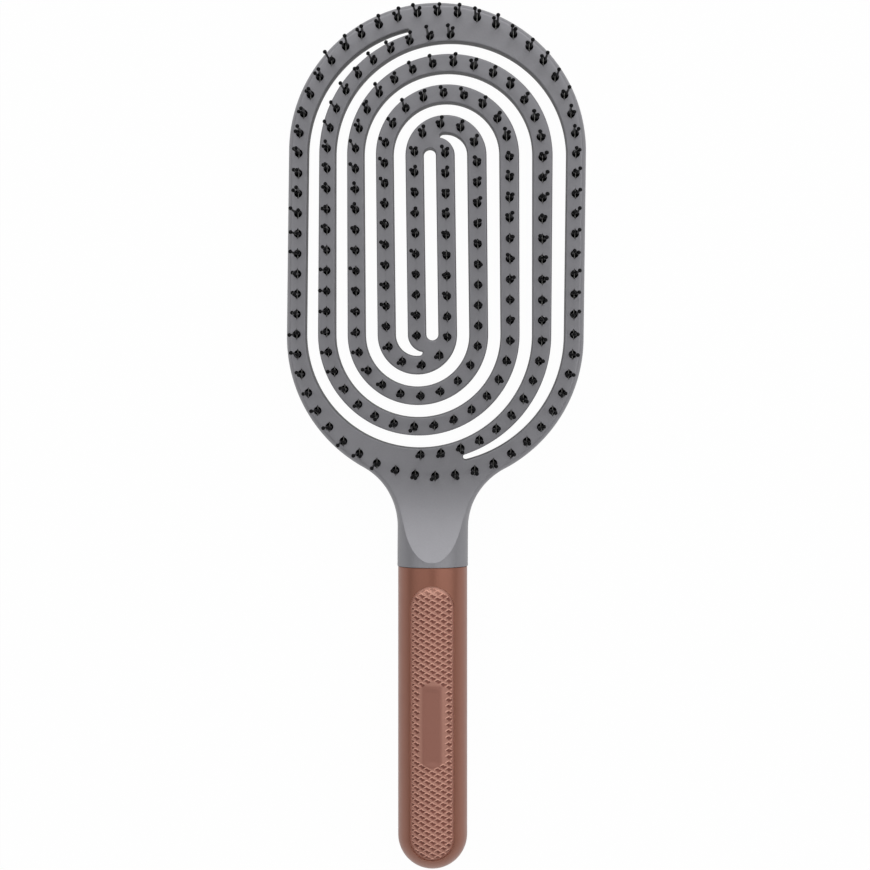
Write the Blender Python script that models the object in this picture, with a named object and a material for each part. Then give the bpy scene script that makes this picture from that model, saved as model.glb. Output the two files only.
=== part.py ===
"""Vented pin brush with a two-armed spiral head, lying on its back with its pins up.

X runs across the head, Y from the round end of the handle to the tip of the head, and Z up
through the pins. The origin is under the middle of the brush, at the height it lies on.

The head is drawn flat first: "across" is X, "along" is the distance from the joint between the
neck and the handle, and "up" is the height over the middle of the plate. place() then bends
that drawing to the real head, which sweeps up from the neck and is arched both ways.
"""

import math
import random

import bmesh
import bpy
from mathutils import Vector
from mathutils.geometry import delaunay_2d_cdt

MM = 0.001

# Lengths along the brush, on either side of the joint between neck and handle
HANDLE_LENGTH = 86.0 * MM
NECK_LENGTH = 22.7 * MM

# Rim of the head, outside its outermost slots
RIM_WIDTH = 5.55 * MM
RIM_END_EXTRA = 0.92 * MM
CROWN_RISE = 0.45 * MM
PLATE_THICKNESS = 5.0 * MM

# Spiral of two arms: every slot crosses the sides of the head one pitch further in
TURNS = 4
TURN_PITCH = 8.68 * MM
SLOT_WIDTH = 3.62 * MM
SLOT_HALF_STRAIGHT = 25.3 * MM
OUTER_TIP_RADIUS = 0.68 * MM
INNER_TIP_RADIUS = 0.7 * MM
SLOT_EDGE = 0.3 * MM
SLOT_EDGE_DEPTH = 0.4 * MM
LEAD_SHARE = 0.333
TAIL_SHARE = 0.22

# The sprung coil rests a little off centre in its rim, and a little turned
COIL_SHIFT = -1.5 * MM
COIL_TWIST = math.radians(1.5)

# Neck: round at the handle, scooped flat on both faces towards the plate
COLLAR_STEP = 0.2 * MM
NECK_FILLET = 19.0 * MM
SCOOP_START = 1.3 * MM
SCOOP_LENGTH = 24.7 * MM
SCOOP_POWER = 1.5
SCOOP_TIP = 0.3 * MM
EDGE_BAND = 1.25 * MM
EDGE_ROUND_SHARE = 0.75

# Lean of the head to one side, its bend seen from the side, and its arch across
HEAD_LEAN = math.radians(0.7)
NECK_SWEEP_END = 24.0 * MM
NECK_RISE = math.radians(3.0)
LENGTH_ARCH = 1500.0 * MM
CROSS_ARCH = 2000.0 * MM

# Tang of the head inside the handle
TANG_LENGTH = 38.0 * MM
TANG_LEAD = 2.0 * MM
TANG_TAPER = 0.8 * MM
SEAT_GAP = 0.3 * MM

# Handle shell
HANDLE_RADIUS = 9.82 * MM
HANDLE_WALL = 2.82 * MM
MOUTH_CHAMFER = 0.35 * MM
SHELL_SIDES = 40
CAP_STEPS = 8

# Grip panel, sunk in the front of the handle and wrapped over its round end
PANEL_WIDTH = 12.9 * MM
PANEL_START = 5.0 * MM
PANEL_END = 3.2 * MM
PANEL_RECESS = 1.6 * MM
PANEL_SUNK = 0.45 * MM
PANEL_STEPS = 16
PLAQUE_WIDTH = 4.4 * MM
PLAQUE_LENGTH = 22.0 * MM
PLAQUE_START = 33.8 * MM

# Tufts: a long and a short ball-ended pin from every hole, one row round the rim and one along
# each arm
RIM_TUFTS = 62
RIM_ROW_INSET = 3.0 * MM
RIM_ROW_SHIFT = 0.45 * MM
ARM_TUFTS = 74
ARM_TUFT_PITCH = 5.751 * MM
ARM_ROW_START = math.radians(89.8)
ARM_ROW_END = math.radians(25.0)
PIN_LENGTH = 14.0 * MM
SHORT_PIN_LENGTH = 8.0 * MM
PIN_RADIUS = 0.33 * MM
BALL_RADIUS = 0.58 * MM
BALL_LENGTH = 1.2 * MM
BALL_CROWN = 0.3 * MM
LEG_SPACING = 0.95 * MM
LEG_SPREAD = 0.35 * MM
LEG_STRAY = 0.55 * MM
LENGTH_STRAY = 0.9 * MM
PIN_SIDES = 3
STRAY_SEED = 11

# Backing strip that holds each row of tufts, let into a groove of the head
STRIP_WIDTH = 2.0 * MM
STRIP_DEPTH = 1.2 * MM
STRIP_OVERHANG = 1.5 * MM

# Fineness of the curves
CHORD_SAG = 0.1 * MM
STRAIGHT_STEPS = 2
NECK_STEPS = 7
TIP_STEPS = 3
FLANK_STEPS = 5
CUT_OVERRUN = 1.0 * MM
MERGE_DISTANCE = 0.0001 * MM

HALF_PLATE = PLATE_THICKNESS / 2
RIM_INNER_RADIUS = TURNS * TURN_PITCH + SLOT_WIDTH / 2
RIM_RADIUS = RIM_INNER_RADIUS + RIM_WIDTH
RIM_HALF_STRAIGHT = SLOT_HALF_STRAIGHT + RIM_END_EXTRA
HEAD_CENTRE = NECK_LENGTH + RIM_RADIUS + RIM_HALF_STRAIGHT
CAP_CENTRE = -(HANDLE_LENGTH - HANDLE_RADIUS)
PANEL_LENGTH = HANDLE_LENGTH - PANEL_START - PANEL_END
PANEL_MIDDLE = -(PANEL_START + PANEL_LENGTH / 2)
NECK_RADIUS = HANDLE_RADIUS + COLLAR_STEP
TANG_BORE = HANDLE_RADIUS - HANDLE_WALL
TANG_RADIUS = TANG_BORE - SEAT_GAP


def clear_scene():
    for old in list(bpy.data.objects):
        bpy.data.objects.remove(old, do_unlink=True)


# Plan of the head: points are (across, along, normal across, normal along)


def arc_steps(radius, sweep):
    """Chords that keep within CHORD_SAG of an arc."""
    chord_angle = 2 * math.acos(1 - min(CHORD_SAG / radius, 1))
    return max(2, math.ceil(abs(sweep) / chord_angle))


def arc(centre, radius, start, end, steps, facing=1):
    """Points of an arc with their normals, which point from its centre where facing is 1."""
    points = []
    for step in range(steps + 1):
        angle = start + (end - start) * step / steps
        across, along = math.cos(angle), math.sin(angle)
        points.append((centre[0] + radius * across, centre[1] + radius * along,
                       facing * across, facing * along))
    return points


def blend(first, last, share):
    return tuple(a + (b - a) * share for a, b in zip(first, last))


def join_arcs(arcs):
    """One line through the arcs, with the straight runs between them divided evenly."""
    line = list(arcs[0])
    for following in arcs[1:]:
        start = line[-1]
        line += [blend(start, following[0], step / STRAIGHT_STEPS)
                 for step in range(1, STRAIGHT_STEPS)]
        line += following
    return line


def half_turned(line):
    """The same line turned by half a turn about the middle of the head."""
    return [tuple(-value for value in point) for point in line]


def spiral_turns(offset):
    """The half turns of a slot's side, from the rim inwards, offset from its centreline."""
    arcs = []
    for turn in range(TURNS - 1):
        middle_radius = (TURNS - 0.5 - turn) * TURN_PITCH
        steps = arc_steps(middle_radius, math.pi)
        if turn % 2 == 0:
            centre, start = (-TURN_PITCH / 2, -SLOT_HALF_STRAIGHT), math.pi
        else:
            centre, start = (TURN_PITCH / 2, SLOT_HALF_STRAIGHT), 0.0
        arcs.append(arc(centre, middle_radius + offset, start, start + math.pi, steps))
    return arcs


def end_points(outer, inner, tip_radius):
    """Where a narrowing slot is two tip radii wide: its point and angle on either side."""
    (outer_x, height), outer_radius = outer
    (inner_x, _), inner_radius = inner
    apart = outer_x - inner_x
    reach = inner_radius + 2 * tip_radius
    cosine = (reach**2 - outer_radius**2 - apart**2) / (2 * outer_radius * apart)
    outer_angle = math.acos(cosine)
    outer_point = Vector((outer_x + outer_radius * cosine,
                          height + outer_radius * math.sin(outer_angle)))
    inner_centre = Vector((inner_x, height))
    away = outer_point - inner_centre
    inner_point = inner_centre + away * (inner_radius / away.length)
    return outer_angle, outer_point, math.atan2(away.y, away.x), inner_point


def tip_arc(start, end, outwards):
    """The round end of a slot, from one side to the other, bulging the way it points."""
    middle = (start + end) / 2
    half = start - middle
    bulge = Vector(outwards).normalized() * half.length
    points = []
    for step in range(1, TIP_STEPS):
        angle = math.pi * step / TIP_STEPS
        point = middle + half * math.cos(angle) + bulge * math.sin(angle)
        points.append((point.x, point.y, 0.0, 0.0))
    return points


def slot_outline(grow):
    """Closed outline of one spiral slot, each side moved outwards by grow."""
    half = SLOT_WIDTH / 2 + grow
    height = SLOT_HALF_STRAIGHT
    lead_outer = ((0.0, height), TURNS * TURN_PITCH + half)
    lead_inner = ((LEAD_SHARE * TURN_PITCH, height), (TURNS + LEAD_SHARE) * TURN_PITCH - half)
    tail_outer = ((TURN_PITCH / 2, height), TURN_PITCH / 2 + half)
    tail_inner = ((TAIL_SHARE * TURN_PITCH, height), (1 - TAIL_SHARE) * TURN_PITCH - half)
    lead = end_points(lead_outer, lead_inner, OUTER_TIP_RADIUS + grow)
    tail = end_points(tail_outer, tail_inner, INNER_TIP_RADIUS + grow)
    lead_steps = arc_steps(RIM_INNER_RADIUS, math.pi / 2)
    tail_steps = arc_steps(TURN_PITCH, math.pi / 2)
    outer_side = join_arcs(
        [arc(*lead_outer, lead[0], math.pi, lead_steps)]
        + spiral_turns(half)
        + [arc(*tail_outer, 0.0, tail[0], tail_steps)])
    inner_side = join_arcs(
        [arc(*lead_inner, lead[2], math.pi, lead_steps)]
        + spiral_turns(-half)
        + [arc(*tail_inner, 0.0, tail[2], tail_steps)])
    tail_end = tip_arc(tail[1], tail[3], (-math.sin(tail[0]), math.cos(tail[0])))
    lead_end = tip_arc(lead[3], lead[1], (math.sin(lead[0]), -math.cos(lead[0])))
    return outer_side + tail_end + inner_side[::-1] + lead_end


def stadium(radius, half_straight):
    """Closed outline with two straight sides and round ends."""
    steps = 2 * arc_steps(radius, math.pi / 2)
    top = arc((0.0, half_straight), radius, 0.0, math.pi, steps)
    bottom = arc((0.0, -half_straight), radius, math.pi, 2 * math.pi, steps)
    line = join_arcs([top, bottom, top[:1]])
    return line[:-1]


def arm_centreline():
    """Centreline of the arm that leaves the rim at the top and ends beside the centre slot."""
    share = (LEAD_SHARE + 0.5) / 2
    overhang = STRIP_OVERHANG / (TURNS * TURN_PITCH)
    lead_radius = (TURNS - 0.5 + share) * TURN_PITCH
    start = ARM_ROW_START - overhang
    steps = arc_steps(lead_radius, math.pi - start)
    arcs = [arc((share * TURN_PITCH, SLOT_HALF_STRAIGHT), lead_radius, start, math.pi, steps)]
    for turn in range(1, TURNS):
        radius = (TURNS - turn) * TURN_PITCH
        steps = arc_steps(radius, math.pi)
        if turn % 2 == 1:
            centre, start = (-TURN_PITCH / 2, -SLOT_HALF_STRAIGHT), math.pi
        else:
            centre, start = (TURN_PITCH / 2, SLOT_HALF_STRAIGHT), 0.0
        arcs.append(arc(centre, radius, start, start + math.pi, steps))
    end_steps = arc_steps(TURN_PITCH / 2, ARM_ROW_END)
    arcs.append(arc((0.0, SLOT_HALF_STRAIGHT), TURN_PITCH / 2, 0.0, ARM_ROW_END, end_steps))
    return join_arcs(arcs)


def head_half_outline():
    """Right half of the outer outline, from the neck to the tip of the head."""
    rim_low = HEAD_CENTRE - RIM_HALF_STRAIGHT
    fillet_x = NECK_RADIUS + NECK_FILLET
    reach = RIM_RADIUS + NECK_FILLET
    fillet_y = rim_low - math.sqrt(reach**2 - fillet_x**2)
    lean = math.atan2(rim_low - fillet_y, -fillet_x)
    neck = []
    for step in range(NECK_STEPS):
        along = SCOOP_START + (fillet_y - SCOOP_START) * (step / NECK_STEPS) ** 2
        neck.append((NECK_RADIUS, along, 1.0, 0.0))
    fillet_steps = arc_steps(NECK_FILLET, math.pi - lean)
    fillet = arc((fillet_x, fillet_y), NECK_FILLET, math.pi, lean, fillet_steps, facing=-1)
    low_steps = arc_steps(RIM_RADIUS, math.pi - lean)
    low = arc((0.0, rim_low), RIM_RADIUS, lean - math.pi, 0.0, low_steps)
    return neck + fillet + join_arcs([low[1:], crown()])


def crown():
    """Right half of the round far end of the head."""
    centre = (0.0, HEAD_CENTRE + RIM_HALF_STRAIGHT + CROWN_RISE)
    steps = arc_steps(RIM_RADIUS, math.pi / 2)
    return arc(centre, RIM_RADIUS, 0.0, math.pi / 2, steps)


def head_outline():
    """Outer outline of neck and head, from the right of the neck round to its left."""
    right = head_half_outline()
    left = [(-x, y, -nx, ny) for x, y, nx, ny in reversed(right[:-1])]
    return right + left


def shifted(line, along):
    return [(x, y + along, nx, ny) for x, y, nx, ny in line]


def offset(line, distance):
    return [(x + nx * distance, y + ny * distance, nx, ny) for x, y, nx, ny in line]


# From the flat drawing to the real head


def relax(across, along):
    """Move a point of the coil the way the relaxed spiral lies inside its rim."""
    past_straight = max(abs(along) - SLOT_HALF_STRAIGHT, 0.0)
    reach = math.hypot(across, past_straight) / RIM_INNER_RADIUS
    hold = max(1 - reach**2, 0.0)
    turn = COIL_TWIST * hold
    return (across * math.cos(turn) - along * math.sin(turn) + COIL_SHIFT * hold,
            across * math.sin(turn) + along * math.cos(turn))


def spine(along):
    """Place and slope of the middle of the neck and head, seen from the side."""
    if along <= SCOOP_START:
        return along, 0.0, 0.0
    sweep_radius = (NECK_SWEEP_END - SCOOP_START) / NECK_RISE
    slope = (min(along, NECK_SWEEP_END) - SCOOP_START) / sweep_radius
    y = SCOOP_START + sweep_radius * math.sin(slope)
    z = sweep_radius * (1 - math.cos(slope))
    if along <= NECK_SWEEP_END:
        return y, z, slope
    tilt = slope - (along - NECK_SWEEP_END) / LENGTH_ARCH
    y += LENGTH_ARCH * (math.sin(slope) - math.sin(tilt))
    z += LENGTH_ARCH * (math.cos(tilt) - math.cos(slope))
    return y, z, tilt


def place(point):
    """A point of the flat drawing, on the bent and arched head."""
    across, along = relax(point[0], point[1] - HEAD_CENTRE)
    along += HEAD_CENTRE
    share = (along - SCOOP_START) / (NECK_SWEEP_END - SCOOP_START)
    arch = min(max(share, 0.0), 1.0)
    tilt = arch * across / CROSS_ARCH
    drop = tilt * across / 2
    lean = arch * HEAD_LEAN
    across, along = (across * math.cos(lean) + along * math.sin(lean),
                     along * math.cos(lean) - across * math.sin(lean))
    y, z, slope = spine(along)
    return Vector((across + point[2] * tilt,
                   y - point[2] * math.sin(slope),
                   z + point[2] * math.cos(slope) - drop))


# Solids from the plan


def add_ring(mesh, line, up):
    """Vertices along a line of the plan; up is one height, or one for each point."""
    heights = up if isinstance(up, list) else [up] * len(line)
    return [mesh.verts.new((point[0], point[1], height))
            for point, height in zip(line, heights)]


def bridge(mesh, first, second, closed=True):
    count = len(first)
    for index in range(count if closed else count - 1):
        following = (index + 1) % count
        mesh.faces.new((first[index], first[following], second[following], second[index]))


def is_inside(x, y, ring):
    """Whether a point of the plan lies inside a ring of vertices."""
    inside = False
    for first, second in zip(ring, ring[1:] + ring[:1]):
        if (first.co.y > y) == (second.co.y > y):
            continue
        crossing = first.co.x + (y - first.co.y) * (second.co.x - first.co.x) / (
            second.co.y - first.co.y)
        if x < crossing:
            inside = not inside
    return inside


def fill(mesh, outside, holes):
    """Faces over everything inside the outside ring and outside the holes."""
    rings = [outside] + holes
    vertices = [vertex for ring in rings for vertex in ring]
    edges = []
    for ring in rings:
        first = len(edges)
        edges += [(first + index, first + (index + 1) % len(ring)) for index in range(len(ring))]
    plan = [vertex.co.xy for vertex in vertices]
    _, _, triangles, origins, _, _ = delaunay_2d_cdt(plan, edges, [], 0, MERGE_DISTANCE)
    for triangle in triangles:
        corners = [vertices[origins[index][0]] for index in triangle]
        x = sum(corner.co.x for corner in corners) / len(corners)
        y = sum(corner.co.y for corner in corners) / len(corners)
        if is_inside(x, y, outside) and not any(is_inside(x, y, hole) for hole in holes):
            mesh.faces.new(corners)


def finish_mesh(mesh, name, material, smooth_angle):
    """Make an object of the mesh, with its origin where neck and handle meet."""
    bmesh.ops.recalc_face_normals(mesh, faces=mesh.faces)
    data = bpy.data.meshes.new(name)
    mesh.to_mesh(data)
    mesh.free()
    data.materials.append(material)
    data.shade_smooth()
    data.set_sharp_from_angle(angle=smooth_angle)
    made = bpy.data.objects.new(name, data)
    bpy.context.scene.collection.objects.link(made)
    return made


# Head


def edge_section(along):
    """Height, width and roundness of the outer edge at a distance along the brush."""
    share = min(max((along - SCOOP_START) / SCOOP_LENGTH, 0.0), 1.0)
    full = math.sqrt(NECK_RADIUS**2 - SCOOP_TIP**2)
    top = HALF_PLATE + (full - HALF_PLATE) * (1 - share) ** SCOOP_POWER
    round_band = NECK_RADIUS - math.sqrt(NECK_RADIUS**2 - top**2)
    round_share = max((top / NECK_RADIUS) ** 2, EDGE_ROUND_SHARE)
    return top, max(round_band, EDGE_BAND), round_share


def edge_level(outline, level):
    """The outer outline and its heights at one level, from 1 at the front to -1 at the back."""
    line = []
    heights = []
    for x, y, nx, ny in outline:
        top, band, round_share = edge_section(y)
        full = 1 - math.sqrt(1 - round_share)
        inset = band * (1 - math.sqrt(1 - round_share * level**2)) / full
        line.append((x - nx * inset, y - ny * inset, nx, ny))
        heights.append(top * level)
    return line, heights


def add_tang(mesh, section):
    """Collar and tang, from the end section of the neck into the handle."""
    middle = [(vertex.co.x, vertex.co.z) for vertex in section]
    stations = [
        (0.0, NECK_RADIUS),
        (0.0, TANG_RADIUS),
        (TANG_LEAD - TANG_LENGTH, TANG_RADIUS),
        (-TANG_LENGTH, TANG_RADIUS - TANG_TAPER),
    ]
    for along, radius in stations:
        share = radius / NECK_RADIUS
        ring = [mesh.verts.new((x * share, along, z * share)) for x, z in middle]
        bridge(mesh, section, ring)
        section = ring
    mesh.faces.new(section)


def row_groove(mesh, centreline, closed, top):
    """Walls and floor of a groove round a backing strip; returns its rings at the surface."""
    half = STRIP_WIDTH / 2 + SEAT_GAP
    floor = HALF_PLATE - STRIP_DEPTH - SEAT_GAP
    rings = []
    floors = []
    for line in strip_outlines(centreline, closed, half):
        rings.append(add_ring(mesh, line, top))
        floors.append(add_ring(mesh, line, floor))
        bridge(mesh, rings[-1], floors[-1])
    fill(mesh, floors[0], floors[1:])
    return rings


def make_head_frame(material):
    """The moulded head: rim, two spiral arms, core, neck and tang in one piece."""
    mesh = bmesh.new()
    outline = head_outline()
    levels = [math.sin(math.pi / 2 * (1 - step / FLANK_STEPS))
              for step in range(2 * FLANK_STEPS + 1)]
    edge = [add_ring(mesh, *edge_level(outline, level)) for level in levels]
    for first, second in zip(edge, edge[1:]):
        bridge(mesh, first, second, closed=False)
    add_tang(mesh, [ring[0] for ring in edge] + [ring[-1] for ring in reversed(edge)])

    shoulder = HALF_PLATE - SLOT_EDGE_DEPTH
    front_holes = []
    back_holes = []
    for hole_at in (slot_hole, opposite_slot_hole, centre_hole):
        rings = [add_ring(mesh, hole_at(grow), up) for grow, up in (
            (SLOT_EDGE, HALF_PLATE), (0.0, shoulder), (0.0, -shoulder), (SLOT_EDGE, -HALF_PLATE))]
        for first, second in zip(rings, rings[1:]):
            bridge(mesh, first, second)
        front_holes.append(rings[0])
        back_holes.append(rings[-1])

    rim_outer, rim_inner = row_groove(mesh, rim_row(), True, HALF_PLATE)
    for row in arm_rows():
        front_holes += row_groove(mesh, row, False, HALF_PLATE)
    fill(mesh, edge[0], [rim_outer])
    fill(mesh, rim_inner, front_holes)
    fill(mesh, edge[-1], back_holes)
    for vertex in mesh.verts:
        vertex.co = place(vertex.co)
    return finish_mesh(mesh, "head_frame", material, math.radians(30))


def slot_hole(grow):
    return shifted(slot_outline(grow), HEAD_CENTRE)


def opposite_slot_hole(grow):
    return shifted(half_turned(slot_outline(grow)), HEAD_CENTRE)


def centre_hole(grow):
    return shifted(stadium(SLOT_WIDTH / 2 + grow, SLOT_HALF_STRAIGHT), HEAD_CENTRE)


# Rows of tufts


def rim_row():
    """Ring that follows the rim's edge, from the right side over the tip of the head."""
    right = crown()
    left = [(-x, y, -nx, ny) for x, y, nx, ny in reversed(right[:-1])]
    steps = 2 * arc_steps(RIM_RADIUS, math.pi / 2)
    low_centre = (0.0, HEAD_CENTRE - RIM_HALF_STRAIGHT)
    low = arc(low_centre, RIM_RADIUS, math.pi, 2 * math.pi, steps)
    ring = join_arcs([right + left, low, right[:1]])
    return offset(ring[:-1], -RIM_ROW_INSET)


def arm_rows():
    first = arm_centreline()
    return [shifted(first, HEAD_CENTRE), shifted(half_turned(first), HEAD_CENTRE)]


def strip_outlines(centreline, closed, half):
    """Outline rings of a strip along a row: two for a closed row, one for an open row."""
    outer = offset(centreline, half)
    inner = offset(centreline, -half)
    if closed:
        return [outer, inner]
    return [outer + inner[::-1]]


def along_row(centreline, closed, start, pitch, count):
    """Evenly spaced places along a row, measured from its first point."""
    line = centreline + centreline[:1] if closed else centreline
    places = []
    travelled = 0.0
    wanted = start
    for first, second in zip(line, line[1:]):
        length = math.hypot(second[0] - first[0], second[1] - first[1])
        while len(places) < count and wanted <= travelled + length:
            places.append(blend(first, second, (wanted - travelled) / length)[:2])
            wanted += pitch
        travelled += length
    return places


def line_length(line):
    return sum(math.hypot(b[0] - a[0], b[1] - a[1]) for a, b in zip(line, line[1:]))


def pin_corners(x, y, radius):
    """Corners of a pin's section, with one corner towards the tip of the head."""
    corners = []
    for side in range(PIN_SIDES):
        angle = math.pi / 2 + 2 * math.pi * side / PIN_SIDES
        corners.append((x + radius * math.cos(angle), y + radius * math.sin(angle)))
    return corners


def add_pin(mesh, foot, tip, length):
    """One pin, which widens into a ball at its end; returns the ring it grows from."""
    stations = (
        (0.0, PIN_RADIUS),
        (length - BALL_LENGTH, PIN_RADIUS),
        (length - BALL_CROWN, BALL_RADIUS),
    )
    rings = []
    for height, radius in stations:
        share = height / length
        x, y = (start + (end - start) * share for start, end in zip(foot, tip))
        rings.append(add_ring(mesh, pin_corners(x, y, radius), HALF_PLATE + height))
    for first, second in zip(rings, rings[1:]):
        bridge(mesh, first, second)
    mesh.faces.new(rings[-1])
    return rings[0]


def make_tuft_row(name, material, centreline, closed, places, seed):
    """A row of tufts, each a long and a short pin, on the strip of the head that backs them."""
    chance = random.Random(seed)
    mesh = bmesh.new()
    tops = []
    floors = []
    for line in strip_outlines(centreline, closed, STRIP_WIDTH / 2):
        tops.append(add_ring(mesh, line, HALF_PLATE))
        floors.append(add_ring(mesh, line, HALF_PLATE - STRIP_DEPTH))
        bridge(mesh, tops[-1], floors[-1])
    feet = []
    for x, y in places:
        longest = [PIN_LENGTH, SHORT_PIN_LENGTH]
        chance.shuffle(longest)
        for side, full_length in zip((-1, 1), longest):
            foot = (x + side * LEG_SPACING / 2, y)
            spread = side * LEG_SPREAD * chance.random()
            tip = (foot[0] + spread, y + LEG_STRAY * chance.uniform(-1, 1))
            length = full_length - LENGTH_STRAY * chance.random()
            feet.append(add_pin(mesh, foot, tip, length))
    fill(mesh, tops[0], tops[1:] + feet)
    fill(mesh, floors[0], floors[1:])
    for vertex in mesh.verts:
        vertex.co = place(vertex.co)
    return finish_mesh(mesh, name, material, math.radians(30))


def make_rim_tufts(material):
    row = rim_row()
    pitch = line_length(row + row[:1]) / RIM_TUFTS
    past_tip = line_length(offset(crown(), -RIM_ROW_INSET)) + RIM_ROW_SHIFT
    places = along_row(row, True, past_tip % pitch, pitch, RIM_TUFTS)
    return make_tuft_row("rim_tufts", material, row, True, places, STRAY_SEED)


def make_arm_tufts(name, material, row, seed):
    places = along_row(row, False, STRIP_OVERHANG, ARM_TUFT_PITCH, ARM_TUFTS)
    return make_tuft_row(name, material, row, False, places, seed)


# Handle


def round_end(radius):
    """Profile of a rounded end about the middle of the handle's cap, from its side to the axis."""
    profile = []
    for step in range(CAP_STEPS + 1):
        angle = math.pi / 2 * step / CAP_STEPS
        profile.append((radius * math.cos(angle), CAP_CENTRE - radius * math.sin(angle)))
    return profile


def shell_profile():
    """Radius and distance along the brush, from the bore's bottom out and round to the cap."""
    mouth = -SEAT_GAP
    bore = round_end(TANG_BORE)[::-1] + [(TANG_BORE, mouth)]
    lip = [(HANDLE_RADIUS - MOUTH_CHAMFER, mouth), (HANDLE_RADIUS, mouth - MOUTH_CHAMFER)]
    return bore + lip + round_end(HANDLE_RADIUS)


def turn_profile(profile, name, material):
    """Turn a profile whose ends lie on the long axis."""
    mesh = bmesh.new()
    line = [mesh.verts.new((radius, along, 0.0)) for radius, along in profile]
    edges = [mesh.edges.new(pair) for pair in zip(line, line[1:])]
    bmesh.ops.spin(mesh, geom=line + edges, cent=(0, 0, 0), axis=(0, 1, 0),
                   angle=2 * math.pi, steps=SHELL_SIDES, use_duplicate=False)
    bmesh.ops.remove_doubles(mesh, verts=mesh.verts, dist=MERGE_DISTANCE * 10)
    return finish_mesh(mesh, name, material, math.radians(30))


def handle_core(radius, name, material):
    """Solid rod with the handle's round end, as a cutter."""
    return turn_profile([(0.0, 0.0), (radius, 0.0)] + round_end(radius), name, material)


def panel_blank(inset, name, material):
    """Upright block in the plan of the grip panel, drawn in from its outline by inset."""
    mesh = bmesh.new()
    half = PANEL_WIDTH / 2
    reach = PANEL_LENGTH / 2 - half
    top = arc((0.0, PANEL_MIDDLE + reach), half - inset, 0.0, math.pi, PANEL_STEPS)
    bottom = arc((0.0, PANEL_MIDDLE - reach), half - inset, math.pi, 2 * math.pi, PANEL_STEPS)
    line = top + bottom
    low = add_ring(mesh, line, 0.0)
    high = add_ring(mesh, line, HANDLE_RADIUS + CUT_OVERRUN)
    bridge(mesh, low, high)
    mesh.faces.new(low)
    mesh.faces.new(high)
    return finish_mesh(mesh, name, material, math.radians(30))


def plaque_block(name, material):
    """Block that mills the small flat plaque along the crown of the grip panel."""
    mesh = bmesh.new()
    crown = HANDLE_RADIUS - PANEL_SUNK
    floor = math.sqrt(crown**2 - (PLAQUE_WIDTH / 2) ** 2)
    half_width = PLAQUE_WIDTH / 2 + CUT_OVERRUN
    start = -(PLAQUE_START + PLAQUE_LENGTH)
    end = -PLAQUE_START
    corners = [(-half_width, start), (half_width, start), (half_width, end), (-half_width, end)]
    low = add_ring(mesh, corners, floor)
    high = add_ring(mesh, corners, crown + CUT_OVERRUN)
    bridge(mesh, low, high)
    mesh.faces.new(low)
    mesh.faces.new(high)
    return finish_mesh(mesh, name, material, math.radians(30))


def combine(piece, other, operation):
    """Shape a piece with a hidden helper."""
    step = piece.modifiers.new(other.name, "BOOLEAN")
    step.operation = operation
    step.solver = "EXACT"
    step.object = other
    other.hide_render = True
    other.display_type = "WIRE"


def make_handle_shell(material):
    """Tube with a round closed end, bored for the tang and recessed for the grip panel."""
    shell = turn_profile(shell_profile(), "handle_shell", material)
    recess = panel_blank(0.0, "recess_blank", material)
    floor = handle_core(HANDLE_RADIUS - PANEL_RECESS, "recess_floor", material)
    combine(recess, floor, "DIFFERENCE")
    combine(shell, recess, "DIFFERENCE")
    return [shell, recess, floor]


def make_grip_panel(material):
    """Panel that follows the handle in its recess, with a flat plaque along its crown."""
    panel = panel_blank(SEAT_GAP, "grip_panel", material)
    outside = handle_core(HANDLE_RADIUS - PANEL_SUNK, "panel_outside", material)
    inside = handle_core(HANDLE_RADIUS - PANEL_RECESS + SEAT_GAP, "panel_inside", material)
    plaque = plaque_block("plaque_cutter", material)
    combine(panel, outside, "INTERSECT")
    combine(panel, inside, "DIFFERENCE")
    combine(panel, plaque, "DIFFERENCE")
    return [panel, outside, inside, plaque]


# Materials


def make_material(name, colour, roughness, metallic):
    material = bpy.data.materials.new(name)
    material.use_nodes = True
    shader = material.node_tree.nodes["Principled BSDF"]
    shader.inputs["Base Color"].default_value = (*colour, 1.0)
    shader.inputs["Roughness"].default_value = roughness
    shader.inputs["Metallic"].default_value = metallic
    return material


def gunmetal_plastic():
    return make_material("gunmetal_plastic", (0.22, 0.22, 0.235), 0.45, 0.3)


def copper_lacquer():
    return make_material("copper_lacquer", (0.30, 0.14, 0.10), 0.35, 0.55)


def copper_grip():
    return make_material("copper_grip", (0.33, 0.16, 0.12), 0.5, 0.35)


def black_nylon():
    return make_material("black_nylon", (0.008, 0.008, 0.010), 0.3, 0.0)


def main():
    clear_scene()
    root = bpy.data.objects.new("pin_brush", None)
    bpy.context.scene.collection.objects.link(root)
    nylon = black_nylon()
    middle = place((0.0, HEAD_CENTRE, 0.0)).x - place((0.0, 0.0, 0.0)).x - COIL_SHIFT
    tip = max(place((x, y, 0.0)).y for x, y, _, _ in crown())
    first_arm, second_arm = arm_rows()
    pieces = [
        make_head_frame(gunmetal_plastic()),
        make_rim_tufts(nylon),
        make_arm_tufts("first_arm_tufts", nylon, first_arm, STRAY_SEED + 1),
        make_arm_tufts("second_arm_tufts", nylon, second_arm, STRAY_SEED + 2),
        *make_handle_shell(copper_lacquer()),
        *make_grip_panel(copper_grip()),
    ]
    for piece in pieces:
        piece.parent = root
        piece.location = (-middle, (HANDLE_LENGTH - tip) / 2, NECK_RADIUS)


main()
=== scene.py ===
"""Pin brush with a two-armed spiral head, seen from straight above on a plain pale floor.

Lengths are in millimetres until a mesh is made; lamps and floor are set in metres. Like the CAD
part, the head is drawn flat first (across, along, up) and then bent to its real shape by bend().
"""

import math
import random
from itertools import product

import bmesh
import bpy
import numpy as np
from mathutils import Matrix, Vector
from mathutils.geometry import delaunay_2d_cdt


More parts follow.
